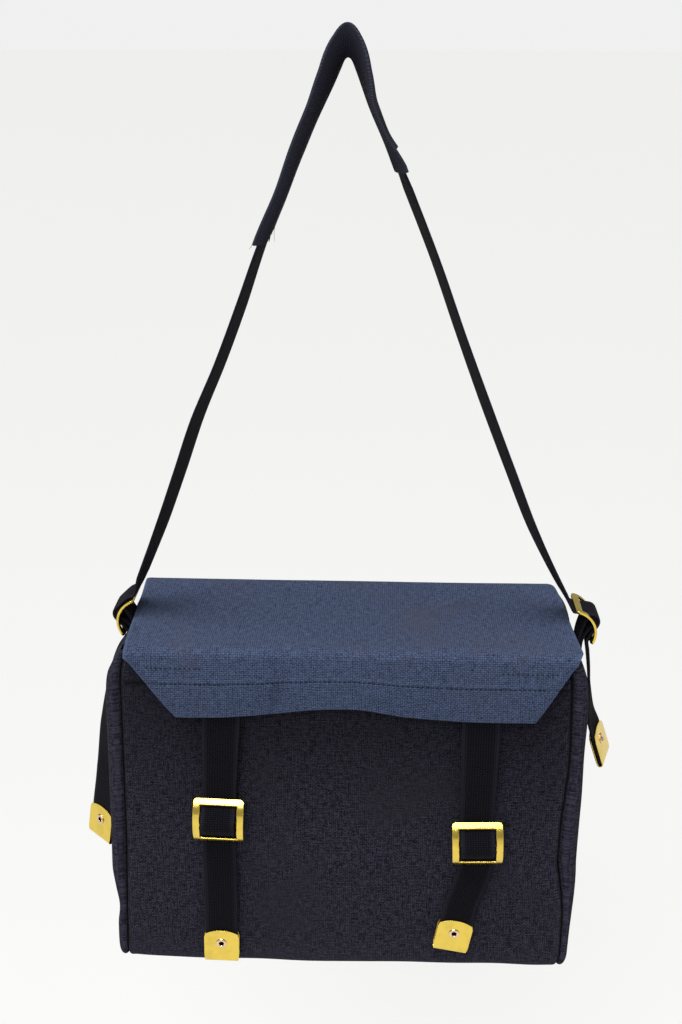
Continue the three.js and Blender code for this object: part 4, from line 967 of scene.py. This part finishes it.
def strap_piece(plan, name, rows, reference, node):
    """Fine stations along a strap: points on its curve, the width direction square to it and
    turned by the twist, widths read between the rows. The end is straight inside its tip.
    Gives the end's place and directions."""
    points, twist, scale = (np.array(column) for column in zip(*rows))
    at, run = even_rows(points, STRAP_STEP)
    line, tangent = curve_at(points, at)
    index = np.arange(len(points))
    side = unit(reference - tangent * (tangent @ reference)[:, None])
    side = turned(side, tangent, np.interp(at, index, twist * RAD))
    wide = plan.webbing_width * np.interp(at, index, scale)
    extra = np.arange(STRAP_STEP, plan.tip - plan.nose - 1 + STRAP_STEP / 2, STRAP_STEP)
    line = np.vstack([line, line[-1] + tangent[-1] * extra[:, None]])
    side = np.vstack([side, np.repeat(side[-1:], len(extra), axis=0)])
    wide = np.concatenate([wide, np.full(len(extra), wide[-1])])
    run = np.concatenate([run, run[-1] + extra])
    webbing_piece(name, line, side, wide, plan.webbing, run, node)
    return End(plan, line[-1], side[-1], tangent[-1])


class End:
    """A strap's end: its place, its directions, and the middle of its rivet."""

    def __init__(self, plan, point, side, tangent):
        self.point, self.side, self.tangent = point, side, tangent
        self.out = unit(np.cross(side, tangent))
        self.rivet = point - tangent * (RIVET_FROM_END - plan.nose)


def build_tip(plan, name, end, node):
    """A sheet folded round the strap's end: two plates with arched upper edges joined by a half
    round nose, with its lower corners rounded and a hole for the rivet."""
    lift = plan.webbing / 2 + GAP + plan.tip_sheet / 2
    plate, turn = np.linspace(1, 0, 16), np.linspace(0, np.pi, 9)[1:-1]
    along = plate * (plan.tip - plan.nose + TIP_SPARE) - TIP_SPARE
    share = np.concatenate([plate, 0 * turn, plate[::-1]])[:, None]
    back = np.concatenate([along, -TIP_SPARE - lift * np.sin(turn), along[::-1]])[:, None]
    height = np.concatenate([0 * plate + lift, lift * np.cos(turn), 0 * plate - lift])[:, None]
    across = np.linspace(-1, 1, 25)
    rounding = 1 - 0.06 * ease((share - 0.86) / 0.14) - 0.045 * ease((0.10 - share) / 0.10)
    x = across * (plan.webbing_width / 2 + TIP_SPARE) * rounding
    arch = TIP_ARCH * ease((share - 0.45) / 0.55) * np.abs(across) ** 2.2
    crown = TIP_CROWN * (1 - across ** 2) * np.sign(height) * ease(share * 3)
    grid = (end.point + end.side * x[..., None] - end.tangent * (back - arch)[..., None]
            + end.out * (height + crown)[..., None])
    normals = grid_normals(grid) * plan.tip_sheet / 2
    piece = mesh_piece(name, *shell(grid + normals, grid - normals), material=looks()["brass"])
    bore(piece, end.rivet, end.out, RIVET_HOLE)
    settle(bevelled(piece, 0.24), "brass", node)


def bore(obj, centre, axis, radius):
    """Cuts a round hole through a piece with a boolean, then drops the cutter."""
    a = (np.arange(28) * 2 * np.pi / 28)[:, None]
    side = unit(np.cross(axis, [0.3, 0.2, 0.9]))
    ring = centre + radius * (np.cos(a) * side + np.sin(a) * np.cross(axis, side))
    cutter = mesh_piece("cutter", *carried(np.stack([ring - axis * 8, ring + axis * 8])))
    cut = obj.modifiers.new("rivet hole", "BOOLEAN")
    cut.operation, cut.solver, cut.object = "DIFFERENCE", "EXACT", cutter
    graph = bpy.context.evaluated_depsgraph_get()
    mesh = bpy.data.meshes.new_from_object(obj.evaluated_get(graph), depsgraph=graph)
    obj.modifiers.clear()
    spent = (obj.data, cutter.data)
    obj.data, mesh.name = mesh, obj.name
    bpy.data.objects.remove(cutter)
    for old in spent:
        bpy.data.meshes.remove(old)
    if not len(mesh.polygons):
        raise RuntimeError(f"{obj.name} was lost in its cut")


def build_rivet(plan, name, end, node):
    """A hollow rivet: its outline turned round its axis, with rolled flanges on both sides."""
    seat = plan.webbing / 2 + GAP + plan.tip_sheet + 0.26
    a = np.linspace(0, np.pi, 7)
    lip = np.column_stack([2.5 + 1.05 * np.cos(a), seat + 0.75 * np.sin(a)])
    profile = np.vstack([[[1.5, -seat], [1.5, seat]], lip[::-1], [[2.1, seat], [2.1, -seat]],
                         lip * [1, -1]])[:, :, None, None]
    t = (np.arange(32) * 2 * np.pi / 32)[:, None]
    ring = np.cos(t) * end.side + np.sin(t) * np.cross(end.side, end.out)
    grid = end.rivet + profile[:, 0] * ring[None] + profile[:, 1] * end.out
    index = np.arange(grid.shape[0] * grid.shape[1]).reshape(grid.shape[:2])
    down, right = np.roll(index, -1, axis=0), np.roll(index, -1, axis=1)
    faces = np.stack([index, down, np.roll(down, -1, axis=1), right], -1).reshape(-1, 4)
    piece = mesh_piece(name, grid.reshape(-1, 3), faces, material=looks()["rivet"], merge=0.001)
    settle(piece, "brass", node)


def build_end(plan, where, end):
    """The tip and the rivet on a strap's end."""
    for kind, build in (("tip", build_tip), ("rivet", build_rivet)):
        node = where.format(kind)
        build(plan, node + "_brass", end, node)


def front_frame(plan, place, kind):
    """Where a front buckle stands before its panel."""
    x = place["centre"] * plan.half
    z = plan.mouth - place["level"] * plan.bag_height
    stand = (plan.pair + plan.chape) / 2 + 2 * GAP - kind["lead"][1]
    angle = place["turn"] * RAD
    return Frame((x, plan.front_at(x, z) - stand, z), (math.sin(angle), 0, -math.cos(angle)), (0, -1, 0))


def build_front(plan, hand):
    """A front strap from under the flap, through its buckle, down to its brass tip."""
    place = FRONTS[hand]
    kind = buckle_kind(plan, **FRONT_BUCKLE, clear=plan.clear)
    buckle = front_frame(plan, place, kind)
    build_buckle(plan, f"front_buckle_{hand}_brass", buckle, kind, f"front_buckle_{hand}")
    seat = []
    for share in (1, 0.8, 0.64):
        point = buckle.at(0, FRONT_CHAPE * share, 0)
        point[1] = plan.front_at(point[0], point[2]) - (GAP + plan.chape + GAP / 2)
        seat.append(point)
    seat.append(buckle.at(0, *kind["lead"]))
    chape_piece(plan, f"front_chape_{hand}_webbing", seat, buckle, f"front_chape_{hand}")
    rows = []
    top_x = place["top"] * plan.half
    for row in (11, 12, 13, 14):
        pair = np.array([row, row + 0.5])
        left, right = flap_edges(plan, pair)
        share = 2 * (top_x - left) / (right - left) - 1
        here, after = (flap_grid(plan, pair[k:k + 1], share[k:k + 1])[0][0, 0] for k in (0, 1))
        fall = unit(np.array([0, after[1] - here[1], after[2] - here[2]]))
        point = here + np.array([0, -fall[2], fall[1]]) * (2 * GAP + plan.webbing / 2)
        point[0] = top_x
        rows.append((point, 0, 1.09))
    last = rows[-1][0]
    top = buckle.at(0, *kind["thread"][0])
    for share, swell, scale in ((0.3, 0.9, 1.07), (0.55, 0.8, 1.02), (0.8, 0.25, 0.98)):
        point = last + (top - last) * share
        point[1] = last[1] + (top[1] - last[1]) * ease(share) - swell * plan.webbing
        rows.append((point, 0, scale))
    rows += [(buckle.at(0, d, o), 0, 0.97) for d, o in kind["thread"]]
    leave = buckle.at(0, *kind["near"])
    for along, aside, stand in place["form"]:
        z = leave[2] - along * place["tail"]
        x = leave[0] + aside * place["tail"]
        rows.append((np.array([x, plan.front_at(x, z) - stand * plan.webbing, z]), 0, 0.98))
    end = strap_piece(plan, f"front_strap_{hand}_webbing", rows, buckle.side, f"front_strap_{hand}")
    build_end(plan, f"front_{{}}_{hand}", end)


def side_frame(plan, side):
    """A side buckle's place beside the mouth, leaning with the strap."""
    tilt = side["tilt"] * RAD
    down = (side["sign"] * math.sin(tilt), 0, -math.cos(tilt))
    out = (side["sign"] * math.cos(tilt), 0, math.sin(tilt))
    x = side["sign"] * (plan.half * (1 + side["out"]) + 2 * plan.chape)
    return Frame((x, 0, plan.mouth - SIDE_BUCKLE_LEVEL * plan.bag_height), down, out)


class Leg:
    """One leg of the shoulder strap: a nearly straight run from the hook to its buckle."""

    def __init__(self, plan, side):
        self.kind = buckle_kind(plan, **SIDE_BUCKLE, clear=plan.clear + GAP,
                                over_top=side["over_top"])
        self.frame = side_frame(plan, side)
        entry = self.frame.at(0, *self.kind["thread"][0])
        self.start = np.array([side["sign"] * 3.0, 0, -4.0])
        self.off = plan.shoulder + GAP + plan.webbing / 2
        along = unit(entry - self.start)
        for _ in range(3):
            out = np.array([-along[2] * side["sign"], 0, along[0] * side["sign"]])
            along = unit(entry - self.start - out * self.off)
        self.along, self.out = along, out
        self.total = float((entry - self.start - out * self.off) @ along)
        self.bow, self.drop = side["bow"], plan.strap_drop

    def at(self, distance):
        """Points on the leg's inner side, with its slight bow."""
        distance = np.atleast_1d(distance).astype(float)
        bow = self.drop * smooth_read(self.bow, distance / self.total, 1)
        return self.start + distance[:, None] * self.along + bow[:, None] * self.out


def build_shoulder(plan):
    """The wide shoulder piece: a cupped section carried over the hook. Each section is flat in
    its middle, bends smoothly to its lip angle, and turns from the leg's normal to straight up
    where it hangs; its ends are cut a little askew. Gives its grid and normals."""
    half = plan.shoulder_width / 2
    reach = {-1: SIDES["left"]["shoulder"], 1: SIDES["right"]["shoulder"]}
    where = np.concatenate([np.linspace(-reach[-1], -8, 72), np.linspace(-7.5, 7.5, 15),
                            np.linspace(8, reach[1], 42)])[:, None]
    section = np.linspace(-1, 1, 45)[None]
    own = np.where(where < 0, reach[-1], reach[1])
    skew = 5.5 * (np.abs(where) / own) ** 5
    at = where - np.where(where < 0, -1, 1) * skew * section
    flat, curved, lip, turn = (smooth_read(SHOULDER_CUP, at / reach[-1], k) for k in (1, 2, 3, 4))
    fine = (np.arange(40) + 0.5) / 40
    from_middle = np.abs(section) * half
    bent = (from_middle[..., None] * fine - (flat * half)[..., None]) / (curved * half)[..., None]
    angle = (lip * RAD)[..., None] * ease(bent)
    depth, rise = np.cos(angle).mean(-1) * from_middle, np.sin(angle).mean(-1) * from_middle
    grid = np.zeros((*at.shape, 3))
    for side, mask in ((SIDES["left"], at < 0), (SIDES["right"], at >= 0)):
        leg = Leg(plan, side)
        lead = float(np.linalg.norm(leg.start))
        away = np.abs(at[mask])
        share = np.clip(away / lead, 0, 1)[:, None]
        bend = leg.start * share * [1, 1, 0] + np.array([0, 0, leg.start[2]]) * share ** 2
        line = np.where((away < lead)[:, None], bend, leg.at(np.maximum(away - lead, 0)))
        up = unit(leg.out * (1 - turn[mask])[:, None] + UP * turn[mask][:, None])
        sign = np.broadcast_to(np.sign(section), at.shape)[mask]
        grid[mask] = line + up * rise[mask][:, None] + DEPTHWISE * (sign * depth[mask])[:, None]
    normals = facing(grid, (78, 22), UP)
    lift = waves(section * half, where + 0 * at, SHOULDER_WAVES)
    rib = 0.22 * hump(np.abs(section), 0.93, 0.03) * np.ones_like(at)
    ends = np.minimum(where + reach[-1], reach[1] - where)
    # Lighter lips: edge wear, and painted highlight where the cupped lips catch the light; lighter cut
    # ends (wear).
    wear_and_painted_light = 0.75 * hump(np.abs(section), 1, 0.30) + 0.35 * hump(ends, 0, 1.2)
    cloth = np.stack([section * half + 0 * at, at, wear_and_painted_light + 0 * at], -1)
    panel_piece("shoulder_webbing", grid + normals * lift[..., None], normals,
                plan.shoulder + rib, 0.0, cloth, "shoulder", (0.6, 3), "webbing", "shoulder_piece")
    return grid, normals


def build_side(plan, hand):
    """A narrow strap from under the shoulder piece, through its side buckle, to its hanging end."""
    side = SIDES[hand]
    sign, leg = side["sign"], Leg(plan, side)
    buckle, kind = leg.frame, leg.kind
    build_buckle(plan, f"side_buckle_{hand}_brass", buckle, kind, f"side_buckle_{hand}")
    lead = buckle.at(0, *kind["lead"])
    seat = []
    for share in (0, 0.33, side["drape"]):
        z = lead[2] - SIDE_CHAPE * (1 - share)
        x = float(plan.side_at(side, z)) + GAP * 2 + plan.chape + GAP / 2
        seat.append(np.array([sign * x, 0, z]))
    seat.append(lead)
    chape_piece(plan, f"side_chape_{hand}_webbing", seat, buckle, f"side_chape_{hand}")
    lap = side["shoulder"] - SHOULDER_LAP - float(np.linalg.norm(leg.start))
    rows = []
    for distance in np.linspace(lap, leg.total - 12, 8):
        share = (distance - lap) / (leg.total - lap)
        held = ease((distance - side["shoulder"] + 8) / 18)
        twist = -sign * float(held * plain_read(LEG_TWIST, share, 1))
        rows.append((leg.at(distance)[0] + leg.out * leg.off, twist, 1.0))
    rows += [(buckle.at(0, d, o), 0, 0.98) for d, o in kind["thread"]]
    leave = buckle.at(0, *kind["near"])
    for along, out, twist in side["form"]:
        rows.append((leave + np.array([sign * out, 0, -along]) * side["tail"], twist, 1.0))
    end = strap_piece(plan, f"strap_{hand}_webbing", rows, DEPTHWISE, f"strap_{hand}")
    build_end(plan, f"side_{{}}_{hand}", end)


# ---------------------------------------------------------------- stitching
def along_path(points, normals, pitch):
    """Evenly spaced places along a polyline, with their normals and directions."""
    run = run_along(points)
    at = np.arange(pitch / 2, run[-1], pitch)
    pick = lambda a: np.stack([np.interp(at, run, a[:, k]) for k in range(3)], -1)
    return pick(points), unit(pick(normals)), unit(pick(unit(np.gradient(points, axis=0))))


def build_stitches(plan):
    """Rows of stitches on the flap's hem, the mouth's hem and the front chapes, and a few stray
    ones on the flap."""
    grid, normals, lift, run, _, _ = flap_pattern(plan)
    skin = grid + normals * (lift[..., None] + plan.canvas + 0.3)
    edge = (run[-1] - run)[:, 0]
    row_at = lambda distance: int(np.argmin(np.abs(edge - distance)))
    hem, second = row_at(plan.flap_hem - STITCH_LINE), row_at(plan.flap_hem + 8)
    lines = [(skin[row, cells], normals[row, cells]) for row, cells in
             ((hem, slice(4, -4)), (second, slice(2, 20)), (second, slice(-20, -2)))]
    for column, first, last, lean in ((97, 93, 97, 1), (93, 104, 112, 0), (117, 98, 102, 1)):
        rows = np.arange(first, last)
        cells = rows, column + (rows - first) // 3 * lean
        lines.append((skin[cells] + normals[cells] * 0.3, normals[cells]))

    def on_front(xs, z, stand):
        ys = np.array([plan.front_at(x, z) for x in xs]) - stand
        lines.append((np.column_stack([xs, ys, 0 * xs + z]), np.tile(-DEPTHWISE, (len(xs), 1))))
    seams = [sign * (plan.half * plain_read(table, 0.07, 1) - 4.5)
             for sign, table in ((-1, GUSSET_LEFT), (1, GUSSET_RIGHT))]
    on_front(np.linspace(*seams, 90), plan.mouth - plan.hem + 3, plan.canvas - 0.1)
    for place in FRONTS.values():
        x = place["centre"] * plan.half
        z = plan.mouth - place["level"] * plan.bag_height - FRONT_CHAPE + 2.5
        on_front(np.linspace(x - 8, x + 8, 12), z, 2 * plan.chape + GAP * 2.2)
    blocks = [stitch_row(*along_path(*line, STITCH["pitch"])) for line in lines]
    settle(mesh_piece("bag_stitching", *joined(blocks), material=looks()["thread"]), "canvas")


def build_frays(grid, normals):
    """Loose warp ends at the shoulder piece's left end: short bent hairs of five-sided section."""
    draw = np.random.RandomState(5)
    t = np.linspace(0, 1, 7)[:, None]
    a = (np.arange(5) * 2 * np.pi / 5)[None, :, None]
    blocks = []
    for k in range(26):
        column = draw.randint(0, 45)
        base = grid[0, column] + normals[0, column] * draw.uniform(0.2, 1.8)
        away = unit(grid[0, column] - grid[3, column])
        size = draw.uniform(0.8, 2.4) if k > 3 else draw.uniform(3.0, 5.0)
        bend = unit(draw.normal(size=3)) * size * 0.64
        line = base - away * 0.6 + away * size * t + (bend - UP * 0.5 * size) * t ** 2
        tangent = unit(np.gradient(line, axis=0))
        side = unit(np.cross(tangent, [0.31, 0.77, 0.2]))
        ring = np.cos(a) * side[:, None] + np.sin(a) * np.cross(tangent, side)[:, None]
        blocks.append(carried(line[:, None] + 0.16 * (1 - 0.5 * t)[:, None] * ring))
    piece = mesh_piece("shoulder_frays", *joined(blocks), material=looks()["thread"])
    settle(piece, "webbing")


def stand(obj, place, right, up, back):
    """Links an object to the scene, at a place in millimetres and turned to three directions."""
    basis = np.eye(4)
    basis[:3, :3] = np.column_stack([right, up, back])
    basis[:3, 3] = np.array(place) * MM
    obj.matrix_world = Matrix(basis.tolist())
    bpy.context.scene.collection.objects.link(obj)


# ---------------------------------------------------------------- operators
class HAVERSACK_OT_body(bpy.types.Operator):
    """Build the bag's front, floor and back"""
    bl_idname = "haversack.body"
    bl_label = "Body"

    def execute(self, context):
        build_body(Plan())
        return {"FINISHED"}


class HAVERSACK_OT_gussets(bpy.types.Operator):
    """Build both sides of the bag"""
    bl_idname = "haversack.gussets"
    bl_label = "Gussets"

    def execute(self, context):
        for hand in SIDES:
            build_gusset(Plan(), hand)
        return {"FINISHED"}


class HAVERSACK_OT_flap(bpy.types.Operator):
    """Build the flap"""
    bl_idname = "haversack.flap"
    bl_label = "Flap"

    def execute(self, context):
        build_flap(Plan())
        return {"FINISHED"}


class HAVERSACK_OT_front_straps(bpy.types.Operator):
    """Build the front straps with their chapes, buckles, tips and rivets"""
    bl_idname = "haversack.front_straps"
    bl_label = "Front straps"

    def execute(self, context):
        for hand in FRONTS:
            build_front(Plan(), hand)
        return {"FINISHED"}


class HAVERSACK_OT_shoulder_strap(bpy.types.Operator):
    """Build the shoulder piece, the narrow straps and the side buckles"""
    bl_idname = "haversack.shoulder_strap"
    bl_label = "Shoulder strap"

    def execute(self, context):
        plan = Plan()
        build_frays(*build_shoulder(plan))
        for hand in SIDES:
            build_side(plan, hand)
        return {"FINISHED"}


class HAVERSACK_OT_stitching(bpy.types.Operator):
    """Sew the hems and seams"""
    bl_idname = "haversack.stitching"
    bl_label = "Stitching"

    def execute(self, context):
        build_stitches(Plan())
        return {"FINISHED"}


class HAVERSACK_OT_stage(bpy.types.Operator):
    """Set up the pale floor, the soft light and the camera"""
    bl_idname = "haversack.stage"
    bl_label = "Stage"

    def execute(self, context):
        scene = context.scene
        pale = tuple(scene.haversack_colours.floor)
        look = Look("pale floor", roughness=0.9)
        tone = look.noise(look.place(), 3.0, 2.0)
        look.feed(Base_Color=look.mix(tone * 0.4, pale, shade(pale, 0.985)))
        at = np.linspace(-90000, 90000, 25)
        top = np.stack(np.broadcast_arrays(at[:, None], at[None], FLOOR_LEVEL), -1)
        points, faces = shell(top, top - [0, 0, 20])
        mesh_piece("studio_floor", points, faces, material=look.material, smooth=False)
        world = bpy.data.worlds.new("studio")
        world.use_nodes = True
        tree = world.node_tree
        sky = tree.nodes["Background"]
        sky.inputs[0].default_value = (0.985, 0.99, 0.985, 1)
        seen = tree.nodes.new("ShaderNodeLightPath")
        strength = tree.nodes.new("ShaderNodeMapRange")
        strength.inputs["To Min"].default_value = 0.36
        strength.inputs["To Max"].default_value = 0.882
        tree.links.new(seen.outputs["Is Camera Ray"], strength.inputs["Value"])
        tree.links.new(strength.outputs[0], sky.inputs[1])
        scene.world = world
        for name, kind, place, aim, size, energy in LAMPS:
            lamp = bpy.data.lights.new(name, kind)
            lamp.energy = energy
            if kind == "SUN":
                lamp.angle = size * RAD
            else:
                lamp.shape, lamp.size = "DISK", size * MM
            back = unit(np.subtract(place, aim).astype(float))
            right = unit(np.cross(UP, back))
            stand(bpy.data.objects.new(name, lamp), place, right, np.cross(back, right), back)
        camera = bpy.data.objects.new("camera", bpy.data.cameras.new("camera"))
        camera.data.lens, camera.data.sensor_width = CAMERA["lens"], 36
        camera.data.clip_start, camera.data.clip_end = 0.01, 100
        basis = np.column_stack([CAMERA["right"], CAMERA["up"], np.negative(CAMERA["forward"])])
        square, upper = np.linalg.qr(basis)
        stand(camera, CAMERA["place"], *(square * np.sign(np.diag(upper))).T)
        scene.camera = camera
        scene.view_settings.view_transform = "Standard"
        return {"FINISHED"}


STEPS = (HAVERSACK_OT_stage, HAVERSACK_OT_body, HAVERSACK_OT_gussets, HAVERSACK_OT_flap,
         HAVERSACK_OT_front_straps, HAVERSACK_OT_shoulder_strap, HAVERSACK_OT_stitching)


class HAVERSACK_PT_panel(bpy.types.Panel):
    """Sizes, colours and building steps of the haversack"""
    bl_idname = "HAVERSACK_PT_panel"
    bl_label = "Haversack"
    bl_space_type = "VIEW_3D"
    bl_region_type = "UI"
    bl_category = "Haversack"

    def draw(self, context):
        for group in (context.scene.haversack_sizes, context.scene.haversack_colours):
            for key in group.__annotations__:
                self.layout.prop(group, key)
        for step in STEPS:
            self.layout.operator(step.bl_idname)


CLASSES = (HaversackSizes, HaversackColours, *STEPS, HAVERSACK_PT_panel)


def register():
    """Registers the classes and hangs the sizes and colours on the scene."""
    for cls in CLASSES:
        bpy.utils.register_class(cls)
    bpy.types.Scene.haversack_sizes = PointerProperty(type=HaversackSizes)
    bpy.types.Scene.haversack_colours = PointerProperty(type=HaversackColours)


def unregister():
    """Takes the classes and the scene's settings away again."""
    del bpy.types.Scene.haversack_sizes, bpy.types.Scene.haversack_colours
    for cls in reversed(CLASSES):
        bpy.utils.unregister_class(cls)


def main():
    """Registers the add-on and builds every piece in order."""
    register()
    for step in STEPS:
        group, name = step.bl_idname.split(".")
        getattr(getattr(bpy.ops, group), name)()


if __name__ == "__main__":
    main()
